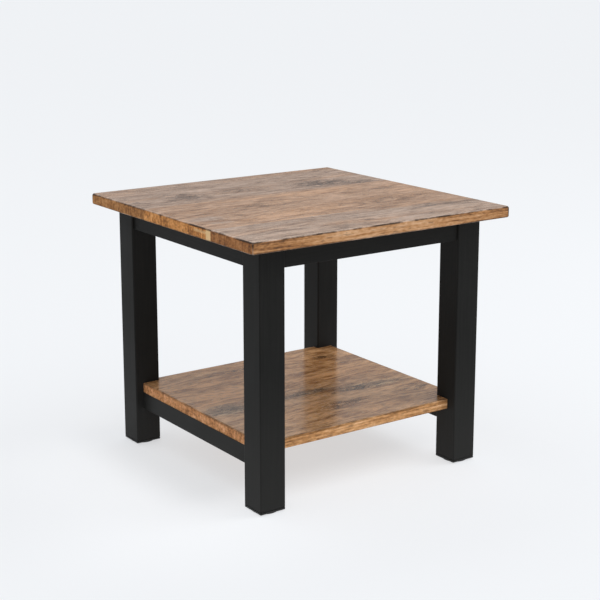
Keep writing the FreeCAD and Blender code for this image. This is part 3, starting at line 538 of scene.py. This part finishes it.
def sawn_colour(wood, board, seed, layers):
    """Sawn ends and edges are warmer, with short strokes of the saw across the ends."""
    strokes = wood.noise(wood.place, SAW_STROKES, move=seed, detail=4, rough=0.65, bend=0.2)
    marks = {
        "strokes": strokes,
        "blotches": wood.noise(wood.place, BLOTCHES, move=seed, detail=4, rough=0.6),
        "speckle": wood.noise(wood.place, SPECKLE, move=seed, rough=0.6),
        "stripes": wood.noise(wood.place, STRIPES, move=seed, detail=4, rough=0.65),
    }
    end_tone = wood.sum(wood.weighed(END_SHARES, marks), END_LIFT)
    side_tone = wood.sum(wood.weighed(SIDE_SHARES, marks), SIDE_LIFT)
    if board.pale_edges:
        pale = patches(wood, wood.place, board.pale_edges)
        side_tone = wood.sum(side_tone, wood.scaled(pale, PALE_EDGE_SHARE))
    tone = wood.between(layers["end"], side_tone, end_tone)
    colour = wood.ramp(tone, *zip(SAWN_STEPS, SAWN))
    # Partly painted light: ends and sides are tinted apart by which way they face, on top of the
    # grain's own tone.
    tint = wood.mix(layers["end"], board.side_tint, board.end_tint)
    colour = wood.mix(1.0, colour, tint, kind="MULTIPLY")
    colour = wood.mix(wood.scaled(layers["flecks"], SAWN_FLECK_SHARE), colour, UMBER)
    bare = wood.fade(marks["blotches"], *BARED_EDGE)
    for spot in board.worn:
        colour = wood.mix(wood.math("MULTIPLY", worn_place(wood, spot), bare), colour, PALE_WOOD)
    return colour


def arris_stain_and_shade(wood, name, seed):
    """Stain with painted shade on the upper arrises and painted shade on the lower ones, in a
    broken line, and painted shade on the upright corners.
    """
    upper, lower, upright = outer_edges(wood, *panel_box(name))
    broken = wood.noise(wood.place, BROKEN, move=seed, detail=4, rough=0.65)
    above = wood.math("MULTIPLY", wood.fade(upper, *UPPER_BAND), wood.fade(broken, *BROKEN_ABOVE))
    below = wood.fade(lower, *LOWER_SHADE_BAND, end=LOWER_SHADE_SHARE)
    below = wood.math("MULTIPLY", below, wood.fade(broken, *BROKEN_BELOW))
    corner = wood.fade(upright, *CORNER_SHADE_BAND, end=CORNER_SHADE_SHARE)
    return wood.math("MAXIMUM", above, wood.math("MAXIMUM", below, corner))


def plank_wood(name):
    """One board's wood under satin lacquer, duller in the pores and on the sawn edges."""
    board = BOARDS[name]
    wood = Finish(f"plank_wood_{name}")
    seed = tuple(board.seed * spread for spread in SEED_SPREAD)
    grain = wandering_grain(wood, seed)
    layers = grain_layers(wood, grain, seed)
    facing = wood.split(wood.add("ShaderNodeNewGeometry").outputs["Normal"])
    layers["end"] = wood.fade(wood.math("ABSOLUTE", facing[0]), *FACING_EDGE)
    layers["side"] = wood.fade(wood.math("ABSOLUTE", facing[1]), *FACING_EDGE)
    colour = face_colour(wood, board, grain, seed, layers)
    sawn = wood.math("MAXIMUM", layers["end"], layers["side"])
    colour = wood.mix(sawn, colour, sawn_colour(wood, board, seed, layers))
    # Stain and painted shade on the arrises and corners, which also dull the lacquer.
    layers["edge_stain_and_shade"] = arris_stain_and_shade(wood, name, seed)
    colour = wood.mix(wood.scaled(layers["edge_stain_and_shade"], board.arris), colour, STAIN_AND_SHADE_COLOUR)
    roughness, depth = board.satin
    wood.shader.distribution = "GGX"
    wood.set(
        Base_Color=colour,
        Roughness=wood.sum(wood.weighed(DULL_SHARES, layers), roughness),
        Normal=wood.relief(wood.weighed(RELIEF_SHARES, layers), depth),
        Specular_IOR_Level=LACQUER_GLOSS,
    )
    return wood.material


# Black satin paint, with the wood's grain just telling through it along the piece, and painted
# light: paler towards the floor, standing in for light bounced up from it.

PAINT_BLACK = (0.0125, 0.0126, 0.0119)
PAINT_WORN = (0.0200, 0.0198, 0.0186)
PAINT_FLOOR_LIT = (0.034, 0.0337, 0.032)
PAINT_CLOUD = (9, 9, 9)
PAINT_PEEL = (900, 900, 900)
PAINT_TONE = {"grain": 0.5, "cloud": 0.5}
PAINT_RELIEF = {"grain": 0.8, "peel": 0.2}
PAINT_DEPTH = 0.06 * MM
PAINT_ROUGH = (0.40, 0.50)
PAINT_GLOSS = 0.06
FLOOR_LIGHT_HEIGHT = 0.30
FLOOR_LIGHT_SHARE = 0.55
NOISE_SPAN = (0.3, 0.7)
GRAIN_ALONG = 9
GRAIN_ACROSS = 260


def black_paint(name, stretch):
    paint = Finish(name)
    layers = {
        "grain": paint.noise(paint.place, stretch, rough=0.6),
        "cloud": paint.noise(paint.place, PAINT_CLOUD),
        "peel": paint.noise(paint.place, PAINT_PEEL, detail=1),
    }
    tone = paint.weighed(PAINT_TONE, layers)
    colour = paint.ramp(tone, *zip(NOISE_SPAN, (PAINT_BLACK, PAINT_WORN)))
    # Painted light: the paint turns paler towards the floor, standing in for light bounced up
    # from it.
    floor_lit = paint.fade(paint.split(paint.place)[2], FLOOR_LIGHT_HEIGHT, 0.0, end=FLOOR_LIGHT_SHARE)
    paint.shader.distribution = "GGX"
    paint.set(
        Base_Color=paint.mix(floor_lit, colour, PAINT_FLOOR_LIT),
        Roughness=paint.fade(layers["cloud"], *NOISE_SPAN, *PAINT_ROUGH),
        Normal=paint.relief(paint.weighed(PAINT_RELIEF, layers), PAINT_DEPTH),
        Specular_IOR_Level=PAINT_GLOSS,
    )
    return paint.material


# Plain beech for the dowels, zinc plate for the fittings and moulded plastic for the feet.

BEECH_DARK = (0.55, 0.36, 0.19)
BEECH_PALE = (0.72, 0.53, 0.32)
BEECH_FLECK = (0.36, 0.20, 0.10)
BEECH_RAYS = (60, 900, 900)
BEECH_FLECKS = (300, 900, 900)
BEECH_FLECK_EDGE = (0.55, 0.7)
BEECH_FLECK_SHARE = 0.4
BEECH_ROUGH = (0.5, 0.65)
PLATE_TINT = (0.60, 0.61, 0.62)
PLATE_SPANGLE = 420
PLATE_ROUGH = 0.30
BOLT_TINT = (0.66, 0.65, 0.62)
BOLT_SPANGLE = 1500
BOLT_ROUGH = 0.22
ZINC_CLOUD = (55, 55, 55)
ZINC_TONE = {"cloud": 0.7, "grains": 0.3}
ZINC_STEPS = (0.25, 0.6)
ZINC_DARK = 0.62
ZINC_ROUGHER = 0.16
ZINC_DEPTH = 0.02 * MM
PLASTIC_BLACK = (0.020, 0.0198, 0.019)
PLASTIC_SCUFFED = (0.040, 0.039, 0.037)
PLASTIC_GRAIN = (1400, 1400, 1400)
PLASTIC_SCUFFS = (120, 120, 30)
PLASTIC_SCUFF_EDGE = (0.55, 0.75)
PLASTIC_SCUFF_SHARE = 0.5
PLASTIC_ROUGH = (0.46, 0.62)
PLASTIC_GLOSS = 0.3
PLASTIC_DEPTH = 0.08 * MM


def beech():
    wood = Finish("dowel_wood")
    rays = wood.noise(wood.place, BEECH_RAYS, detail=2)
    flecks = wood.fade(wood.noise(wood.place, BEECH_FLECKS, detail=1), *BEECH_FLECK_EDGE)
    colour = wood.ramp(rays, *zip(NOISE_SPAN, (BEECH_DARK, BEECH_PALE)))
    wood.set(
        Base_Color=wood.mix(wood.scaled(flecks, BEECH_FLECK_SHARE), colour, BEECH_FLECK),
        Roughness=wood.fade(rays, *NOISE_SPAN, *BEECH_ROUGH),
    )
    return wood.material


def zinc(name, spangle, tint, rough):
    """Zinc plate on steel: a dull bright metal, clouded and faintly spangled."""
    metal = Finish(name)
    cloud = metal.noise(metal.place, ZINC_CLOUD, detail=4)
    grains = metal.cells(metal.place, (spangle, spangle, spangle))
    tone = metal.weighed(ZINC_TONE, {"cloud": cloud, "grains": grains})
    dark = tuple(ZINC_DARK * part for part in tint)
    metal.set(
        Base_Color=metal.ramp(tone, *zip(ZINC_STEPS, (dark, tint))),
        Metallic=1.0,
        Roughness=metal.fade(cloud, *NOISE_SPAN, rough, rough + ZINC_ROUGHER),
        Normal=metal.relief(grains, ZINC_DEPTH),
    )
    return metal.material


def foot_plastic():
    plastic = Finish("foot_plastic")
    grain = plastic.noise(plastic.place, PLASTIC_GRAIN, detail=2)
    scuffs = plastic.noise(plastic.place, PLASTIC_SCUFFS, detail=4)
    share = plastic.scaled(plastic.fade(scuffs, *PLASTIC_SCUFF_EDGE), PLASTIC_SCUFF_SHARE)
    plastic.set(
        Base_Color=plastic.mix(share, PLASTIC_BLACK, PLASTIC_SCUFFED),
        Roughness=plastic.fade(grain, *NOISE_SPAN, *PLASTIC_ROUGH),
        Normal=plastic.relief(grain, PLASTIC_DEPTH),
        Specular_IOR_Level=PLASTIC_GLOSS,
    )
    return plastic.material


# Fasteners with threads and cross recesses. Each kind is shaped once along Z, and then laid
# where the plain solids that it stands for are. A thread's outline is a row of (rise from
# core to crest, share of the pitch).

THREAD_STEPS = 24
HEAD_SIDES = 32
SAME_POINT = 2e-6
MACHINE_PITCH = 1.25 * MM
MACHINE_THREAD = ((0.0, 0.0), (1.0, 0.5), (0.0, 1.0))
WOOD_THREAD = ((0.0, 0.0), (0.0, 0.5), (1.0, 0.75), (0.0, 1.0))
BOLT_RADIUS = 4 * MM
BOLT_CORE = 3.3 * MM
BOLT_POINT = 6 * MM
BOLT_BITE = 27 * MM
BOLT_CHAMFER = 1 * MM
BOLT_WOOD_CORE = 2.7 * MM
BOLT_WOOD_PITCH = 3.2 * MM
SCREW_RADIUS = 2 * MM
SCREW_CORE = 1.3 * MM
SCREW_PITCH = 1.8 * MM
SCREW_POINT = 4 * MM
HEAD_RADIUS = 4 * MM
HEAD_HEIGHT = 2.4 * MM
HEAD_ROUND = 1.4 * MM
HEAD_SEGMENTS = 5
CROSS_REACH = 1.9 * MM
CROSS_HALF = 0.42 * MM
CROSS_DEPTH = 1.5 * MM
CROSS_TAPER = 0.5
NUT_FLAT = 6.5 * MM
NUT_BORE = 4.1 * MM
NUT_FACE = 6.2 * MM
NUT_CONE = math.radians(30)
COLLAR_RADIUS = 6.5 * MM
COLLAR_HEIGHT = 2 * MM
COLLAR_EDGE = 0.3 * MM
JOINED = 0.6 * MM
TIP_SHARE = 0.06
END_SHARE = 0.78
ROUNDED_BELOW = math.radians(40)


def all_of(shape):
    return shape.verts[:] + shape.edges[:] + shape.faces[:]


def verts_in(geometry):
    return [part for part in geometry if isinstance(part, bmesh.types.BMVert)]


def round_over(shape, edges, offset, segments, limited=False):
    """Round edges over, and no further than their neighbours allow where that is limited."""
    bmesh.ops.bevel(
        shape, geom=edges, offset=offset, offset_type="OFFSET", affect="EDGES",
        segments=segments, profile=0.5, material=-1, clamp_overlap=limited,
    )


def cut_and_close(shape, point, outwards):
    """Cut away what lies outwards of a plane and close the cut with one face."""
    point = Vector(point)
    outwards = Vector(outwards)
    bmesh.ops.bisect_plane(
        shape, geom=all_of(shape), plane_co=point, plane_no=outwards, clear_outer=True,
    )

    def in_plane(edge):
        return all(abs((vert.co - point).dot(outwards)) < SAME_POINT for vert in edge.verts)
    rim = [edge for edge in shape.edges if edge.is_boundary and in_plane(edge)]
    return bmesh.ops.edgeloop_fill(shape, edges=rim)["faces"][0]


def draw_out(shape, face, length, share):
    """Draw a rod's end out along Z, narrowed to a share of its width."""
    end = bmesh.ops.extrude_discrete_faces(shape, faces=[face])["faces"][0]
    bmesh.ops.scale(shape, vec=(share, share, 1.0), verts=end.verts)
    bmesh.ops.translate(shape, vec=(0.0, 0.0, length), verts=end.verts)


def threaded_rod(thread, core, crest, pitch, low, high):
    """A right-hand thread from low to high, with its lower and upper end faces."""
    shape = bmesh.new()
    turns = math.ceil((high - low) / pitch) + 2
    start = low - pitch
    points = [
        shape.verts.new((core + rise * (crest - core), 0.0, start + share * pitch))
        for rise, share in thread
    ]
    edges = [shape.edges.new(pair) for pair in zip(points, points[1:])]
    bmesh.ops.spin(
        shape, geom=points + edges, cent=(0, 0, 0), axis=(0, 0, 1),
        dvec=(0, 0, pitch / THREAD_STEPS), angle=2 * math.pi * turns,
        steps=THREAD_STEPS * turns, use_merge=False,
    )
    bmesh.ops.remove_doubles(shape, verts=shape.verts, dist=SAME_POINT)
    lower = cut_and_close(shape, (0, 0, low), (0, 0, -1))
    upper = cut_and_close(shape, (0, 0, high), (0, 0, 1))
    return shape, lower, upper


def add_to(target, shape, place=Matrix()):
    """Put a finished shape into another at a place."""
    bmesh.ops.recalc_face_normals(shape, faces=shape.faces)
    mesh = bpy.data.meshes.new("shape")
    shape.to_mesh(mesh)
    mesh.transform(place)
    target.from_mesh(mesh)
    bpy.data.meshes.remove(mesh)


def disk(radius, low, high, edge, segments=1):
    """A round plate from low to high, its far rim rounded over."""
    shape = bmesh.new()
    level = Matrix.Translation((0, 0, low))
    bmesh.ops.create_circle(
        shape, cap_ends=True, segments=HEAD_SIDES, radius=radius, matrix=level,
    )
    raised = bmesh.ops.extrude_face_region(shape, geom=shape.faces[:])["geom"]
    bmesh.ops.translate(shape, vec=(0, 0, high - low), verts=verts_in(raised))
    far = next(part for part in raised if isinstance(part, bmesh.types.BMFace))
    round_over(shape, far.edges[:], edge, segments)
    return shape


def cross_head():
    """A round screw head below Z 0, its crown downwards, with a tapered cross recess."""
    shape = disk(HEAD_RADIUS, 0.0, -HEAD_HEIGHT, HEAD_ROUND, HEAD_SEGMENTS)
    crown = min(shape.faces, key=lambda face: face.calc_center_median().z)
    rim = crown.edges[:]
    bmesh.ops.delete(shape, geom=[crown], context="FACES_ONLY")
    arm = ((CROSS_REACH, -CROSS_HALF), (CROSS_REACH, CROSS_HALF), (CROSS_HALF, CROSS_HALF))
    outline = []
    for turn in range(4):
        cosine = round(math.cos(turn * math.pi / 2))
        sine = round(math.sin(turn * math.pi / 2))
        for x, y in arm:
            corner = (cosine * x - sine * y, sine * x + cosine * y, -HEAD_HEIGHT)
            outline.append(shape.verts.new(corner))
    mouth = [shape.edges.new(pair) for pair in zip(outline, outline[1:] + outline[:1])]
    bmesh.ops.bridge_loops(shape, edges=rim + mouth)
    sunk = bmesh.ops.extrude_edge_only(shape, edges=mouth)["geom"]
    verts = verts_in(sunk)
    bmesh.ops.scale(shape, vec=(CROSS_TAPER, CROSS_TAPER, 1.0), verts=verts)
    bmesh.ops.translate(shape, vec=(0, 0, CROSS_DEPTH), verts=verts)
    edges = [part for part in sunk if isinstance(part, bmesh.types.BMEdge)]
    bmesh.ops.edgeloop_fill(shape, edges=[edge for edge in edges if edge.is_boundary])
    return shape


def wood_screw(length):
    """A wood screw along Z from its head's crown, with its whole length given."""
    screw = bmesh.new()
    add_to(screw, cross_head())
    shank, _, upper = threaded_rod(
        WOOD_THREAD, SCREW_CORE, SCREW_RADIUS, SCREW_PITCH,
        -JOINED, length - HEAD_HEIGHT - SCREW_POINT,
    )
    draw_out(shank, upper, SCREW_POINT, TIP_SHARE)
    add_to(screw, shank)
    bmesh.ops.translate(screw, vec=(0, 0, HEAD_HEIGHT), verts=screw.verts)
    return screw


def machine_rod(low, high):
    """A machine thread from low to high, its upper end chamfered."""
    rod, _, upper = threaded_rod(
        MACHINE_THREAD, BOLT_CORE, BOLT_RADIUS, MACHINE_PITCH, low, high - BOLT_CHAMFER,
    )
    draw_out(rod, upper, BOLT_CHAMFER, END_SHARE)
    return rod


def hanger_bolt(length):
    """A bolt along Z from its point: a wood thread first, then a machine thread."""
    bolt = bmesh.new()
    bite, lower, _ = threaded_rod(
        WOOD_THREAD, BOLT_WOOD_CORE, BOLT_RADIUS, BOLT_WOOD_PITCH, BOLT_POINT, BOLT_BITE,
    )
    draw_out(bite, lower, -BOLT_POINT, TIP_SHARE)
    add_to(bolt, bite)
    add_to(bolt, machine_rod(BOLT_BITE - JOINED, length))
    return bolt


def hexagon_nut(height):
    """A nut along Z with both faces coned at the corners."""
    nut = bmesh.new()
    corner = 2 * NUT_FLAT / math.sqrt(3)
    rise = (corner - NUT_FACE) * math.tan(NUT_CONE)
    outline = (
        (NUT_BORE, 0.0), (NUT_FACE, 0.0), (corner, rise),
        (corner, height - rise), (NUT_FACE, height), (NUT_BORE, height),
    )
    points = [nut.verts.new((radius, 0.0, level)) for radius, level in outline]
    edges = [nut.edges.new(pair) for pair in zip(points, points[1:] + points[:1])]
    bmesh.ops.spin(
        nut, geom=points + edges, cent=(0, 0, 0), axis=(0, 0, 1), angle=2 * math.pi,
        steps=3 * HEAD_SIDES, use_merge=True,
    )
    bmesh.ops.remove_doubles(nut, verts=nut.verts, dist=SAME_POINT)
    for side in range(6):
        angle = math.radians(60 * side)
        outwards = Vector((math.cos(angle), math.sin(angle), 0.0))
        cut_and_close(nut, outwards * NUT_FLAT, outwards)
    return nut


def threaded_stem(low, high):
    """A levelling foot's stem: a collar that turns in the pad, and a machine thread."""
    stem = bmesh.new()
    add_to(stem, disk(COLLAR_RADIUS, low, low + COLLAR_HEIGHT, COLLAR_EDGE))
    add_to(stem, machine_rod(low + COLLAR_HEIGHT - JOINED, high))
    return stem


def solids_of(name):
    """The corner points of each separate solid of a node."""
    shape = bmesh.new()
    shape.from_mesh(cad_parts[name].data)
    bmesh.ops.remove_doubles(shape, verts=shape.verts, dist=SAME_POINT)
    found = []
    for first in shape.verts:
        if first.tag:
            continue
        first.tag = True
        waiting = [first]
        points = []
        while waiting:
            vert = waiting.pop()
            points.append(vert.co.copy())
            for edge in vert.link_edges:
                other = edge.other_vert(vert)
                if not other.tag:
                    other.tag = True
                    waiting.append(other)
        found.append(points)
    shape.free()
    return found


def middle_and_size(points):
    low = Vector(min(point[axis] for point in points) for axis in range(3))
    high = Vector(max(point[axis] for point in points) for axis in range(3))
    return (low + high) / 2, high - low


def along_length(middle, size):
    """A screw's direction: along its length, up or away from the table's middle."""
    axis = max(range(3), key=lambda number: size[number])
    way = Vector((0.0, 0.0, 0.0))
    way[axis] = math.copysign(1.0, middle[axis])
    return way


def along_diagonal(middle, _):
    """A hanger bolt's direction: level, from the leg to the table's middle."""
    return Vector((-middle.x, -middle.y, 0.0)).normalized()


def show_piece(name, shape, material, body, node=None):
    mesh = bpy.data.meshes.new(name)
    shape.to_mesh(mesh)
    shape.free()
    mesh.shade_smooth()
    mesh.set_sharp_from_angle(angle=ROUNDED_BELOW)
    mesh.materials.append(material)
    piece = bpy.data.objects.new(name, mesh)
    bpy.context.scene.collection.objects.link(piece)
    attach(piece, body)
    if node:
        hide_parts(node)


def lay_fasteners(name, node, maker, direction, material):
    """Stand one shaped fastener in each place of a node's solids."""
    whole = bmesh.new()
    made = {}
    for points in solids_of(node):
        middle, size = middle_and_size(points)
        way = direction(middle, size)
        reaches = [(point - middle).dot(way) for point in points]
        turn = way.to_track_quat("Z", "Y").to_matrix().to_4x4()
        place = Matrix.Translation(middle + way * min(reaches)) @ turn
        length = round(max(reaches) - min(reaches), 5)
        if length not in made:
            made[length] = maker(length)
        add_to(whole, made[length], place)
    show_piece(name, whole, material, TABLE, node)


def make_fasteners(material):
    lay_fasteners("threaded_hanger_bolts", "hanger_bolts", hanger_bolt, along_diagonal, material)
    lay_fasteners("coned_nuts", "bracket_nuts", hexagon_nut, along_diagonal, material)
    for place in ("bracket", "top", "shelf"):
        node = f"{place}_screws"
        lay_fasteners(f"cross_head_{node}", node, wood_screw, along_length, material)
    for corner in CORNERS:
        node = f"foot_stem_{corner}"
        low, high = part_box(node)
        stem = threaded_stem(low.z, high.z)
        move = ((low.x + high.x) / 2, (low.y + high.y) / 2, 0.0)
        bmesh.ops.translate(stem, vec=move, verts=stem.verts)
        name = f"threaded_stem_{corner}"
        show_piece(name, stem, material, f"stem_{corner}", node)


# A square shoe round the upper half of each pad carries the leg's faces down over it. Of its
# lower rim's rounding, the overlap limit leaves about 0.2 mm.

SHOE_LOW = 3.2 * MM
SHOE_BORE = 24.8 * MM
SHOE_ROUND = 2.5 * MM
SHOE_ROUND_STEPS = 4
SHOE_EDGE = 0.8 * MM
SHOE_EDGE_STEPS = 2


def square_shoe(middle, half, high):
    shape = bmesh.new()
    level = Matrix.Translation((middle.x, middle.y, SHOE_LOW))
    bmesh.ops.create_circle(shape, segments=2 * HEAD_SIDES, radius=SHOE_BORE, matrix=level)
    square = level @ Matrix.Rotation(math.radians(45), 4, "Z")
    bmesh.ops.create_circle(shape, segments=4, radius=half * math.sqrt(2), matrix=square)
    bmesh.ops.bridge_loops(shape, edges=shape.edges[:])
    raised = bmesh.ops.extrude_face_region(shape, geom=shape.faces[:])["geom"]
    bmesh.ops.translate(shape, vec=(0, 0, high - SHOE_LOW), verts=verts_in(raised))

    def outside(vert):
        away = vert.co - middle
        return max(abs(away.x), abs(away.y)) > half - SAME_POINT

    def upright(edge):
        first, second = edge.verts
        return (first.co - second.co).xy.length < SAME_POINT and outside(first)

    def lower_rim(edge):
        return all(outside(vert) and vert.co.z < SHOE_LOW + SAME_POINT for vert in edge.verts)
    for pick, offset, segments in (
        (upright, SHOE_ROUND, SHOE_ROUND_STEPS),
        (lower_rim, SHOE_EDGE, SHOE_EDGE_STEPS),
    ):
        edges = [edge for edge in shape.edges if pick(edge)]
        round_over(shape, edges, offset, segments, limited=True)
    bmesh.ops.recalc_face_normals(shape, faces=shape.faces)
    return shape


def make_shoes(material):
    for corner in CORNERS:
        low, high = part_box(f"leg_{corner}")
        pad_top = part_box(f"foot_pad_{corner}")[1].z
        shape = square_shoe((low + high) / 2, (high.x - low.x) / 2, pad_top)
        show_piece(f"square_shoe_{corner}", shape, material, f"pad_{corner}")


def dress(names, material):
    for name in names:
        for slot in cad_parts[name].material_slots:
            slot.material = material


def dress_table():
    for name in TOP_BOARDS + SHELF_BOARDS:
        dress([name], plank_wood(name))
    along, across = GRAIN_ALONG, GRAIN_ACROSS
    dress(LEGS, black_paint("black_paint_upright", (across, across, along)))
    dress(CROSS_APRONS, black_paint("black_paint_across", (along, across, across)))
    dress(SIDE_APRONS, black_paint("black_paint_sideways", (across, along, across)))
    dress(["apron_dowels", "rail_dowels"], beech())
    plate = zinc("zinc_plate", PLATE_SPANGLE, PLATE_TINT, PLATE_ROUGH)
    dress([f"corner_bracket_{corner}" for corner in CORNERS] + ["top_clips"], plate)
    bright = zinc("zinc_fastener", BOLT_SPANGLE, BOLT_TINT, BOLT_ROUGH)
    dress(["bracket_washers", "leg_inserts"], bright)
    make_fasteners(bright)
    plastic = foot_plastic()
    dress([f"foot_pad_{corner}" for corner in CORNERS], plastic)
    make_shoes(plastic)


# The stage: a wide pale floor lit from within like a photographer's light table, a white
# surround and one broad soft lamp from the right. The floor's glow has a halo round the
# table, weaker on the lamp's side and behind, which keeps the shadow close under the table.

FLOOR_RADIUS = 60.0
FLOOR_SIDES = 96
FLOOR_GLOW = 0.60
FLOOR_PAINT = 0.30
FLOOR_TINT = (0.972, 0.982, 1.0)
FLOOR_COAT = (0.950, 0.985, 1.02)
SHADOW_MIDDLE = (-0.025, 0.11)
SHADOW_HALF = (0.245, 0.19)
HALO_GLOW = 0.10
HALO_START = (0.0, 0.13)
HALO_END = (0.05, 0.50)
HALO_LAMP_SIDE = (0.12, 0.42)
HALO_LAMP_SHARE = 0.12
HALO_BACK_SIDE = (0.10, 0.42)
HALO_BACK_SHARE = 0.25
HORIZON_LIGHT = 0.20
OVERHEAD_LIGHT = 1.22
OVERHEAD_RISE = (0.17, 0.50)
BACKDROP_LIGHT = 0.913
SHADED_SIDE = (-0.85, -0.52, 0.1)
SHADED_EDGE = (0.45, 0.95)
SHADED_SHARE = 0.38
LAMP_PLACE = (2.4, -1.4, 3.4)
LAMP_AIM = (0.0, 0.0, 0.3)
LAMP_SIZE = 2.2
LAMP_POWER = 40.0


def floor_glow(pale):
    x, y = SHADOW_MIDDLE
    out = pale.vector("ABSOLUTE", pale.mapped(pale.place, move=(-x, -y, 0)))
    out = pale.vector("MAXIMUM", pale.vector("SUBTRACT", out, (*SHADOW_HALF, 0)), (0, 0, 0))
    away = pale.vector("LENGTH", pale.vector("MULTIPLY", out, (1, 1, 0)))
    across, deep = pale.split(pale.place)[:2]
    halo = pale.fade(away, *HALO_START)
    for part in (
        pale.fade(away, *HALO_END, start=HALO_GLOW, end=0.0),
        pale.fade(across, *HALO_LAMP_SIDE, start=1.0, end=HALO_LAMP_SHARE),
        pale.fade(deep, *HALO_BACK_SIDE, start=1.0, end=HALO_BACK_SHARE),
    ):
        halo = pale.math("MULTIPLY", halo, part)
    return pale.math("ADD", halo, FLOOR_GLOW)


def lay_floor():
    shape = bmesh.new()
    bmesh.ops.create_circle(shape, cap_ends=True, segments=FLOOR_SIDES, radius=FLOOR_RADIUS)
    mesh = bpy.data.meshes.new("floor")
    shape.to_mesh(mesh)
    shape.free()
    floor = bpy.data.objects.new("floor", mesh)
    bpy.context.scene.collection.objects.link(floor)
    pale = Finish("pale_floor")
    pale.set(
        Base_Color=(*(FLOOR_PAINT * part for part in FLOOR_COAT), 1.0),
        Roughness=0.9,
        Specular_IOR_Level=0.0,
        Emission_Color=(*FLOOR_TINT, 1.0),
        Emission_Strength=floor_glow(pale),
    )
    mesh.materials.append(pale.material)


def light_surround():
    """White all round, brighter overhead and dimmer low down and at the front left.

    Seen directly it is one even white, like the floor, so no horizon shows.
    """
    world = bpy.data.worlds.new("white_surround")
    bpy.context.scene.world = world
    world.use_nodes = True
    light = Nodes(world.node_tree)
    surround = world.node_tree.nodes["Background"]
    way = light.add("ShaderNodeTexCoord").outputs["Generated"]
    upward = light.split(way)[2]
    towards = light.vector("DOT_PRODUCT", way, Vector(SHADED_SIDE).normalized())
    rising = light.fade(upward, *OVERHEAD_RISE, start=HORIZON_LIGHT, end=OVERHEAD_LIGHT)
    dimmed = light.fade(towards, *SHADED_EDGE, start=1.0, end=SHADED_SHARE)
    strength = light.math("MULTIPLY", rising, dimmed)
    direct = light.add("ShaderNodeLightPath").outputs["Is Camera Ray"]
    light.feed(surround.inputs["Color"], (*FLOOR_TINT, 1.0))
    light.feed(surround.inputs["Strength"], light.between(direct, strength, BACKDROP_LIGHT))


def light_studio():
    light_surround()
    lamp = bpy.data.lights.new("soft_lamp", "AREA")
    lamp.shape = "DISK"
    lamp.size = LAMP_SIZE
    lamp.energy = LAMP_POWER
    stand = bpy.data.objects.new("soft_lamp", lamp)
    stand.location = LAMP_PLACE
    aim = Vector(LAMP_AIM) - Vector(LAMP_PLACE)
    stand.rotation_euler = aim.to_track_quat("-Z", "Y").to_euler()
    bpy.context.scene.collection.objects.link(stand)
    view = bpy.context.scene.view_settings
    view.view_transform = "Standard"
    view.look = "None"


# The camera stands to the front left, well above the top, and its axis meets the picture
# above the middle.

PICTURE_SIDE = 600
FOCAL_PIXELS = 1405.3
AXIS_ROW = 250
SENSOR_WIDTH = 36.0
CAMERA_PLACE = (-1.5578, -2.2236, 1.0058)
CAMERA_AZIMUTH = -35.20
CAMERA_DIP = 12.31


def set_camera():
    lens = bpy.data.cameras.new("camera")
    lens.sensor_width = SENSOR_WIDTH
    lens.lens = FOCAL_PIXELS / PICTURE_SIDE * SENSOR_WIDTH
    lens.shift_y = (AXIS_ROW - PICTURE_SIDE / 2) / PICTURE_SIDE
    lens.clip_end = 2 * FLOOR_RADIUS
    camera = bpy.data.objects.new("camera", lens)
    camera.location = CAMERA_PLACE
    camera.rotation_euler = (math.radians(90 - CAMERA_DIP), 0.0, math.radians(CAMERA_AZIMUTH))
    bpy.context.scene.collection.objects.link(camera)
    bpy.context.scene.camera = camera


dress_table()
lay_floor()
light_studio()
set_camera()
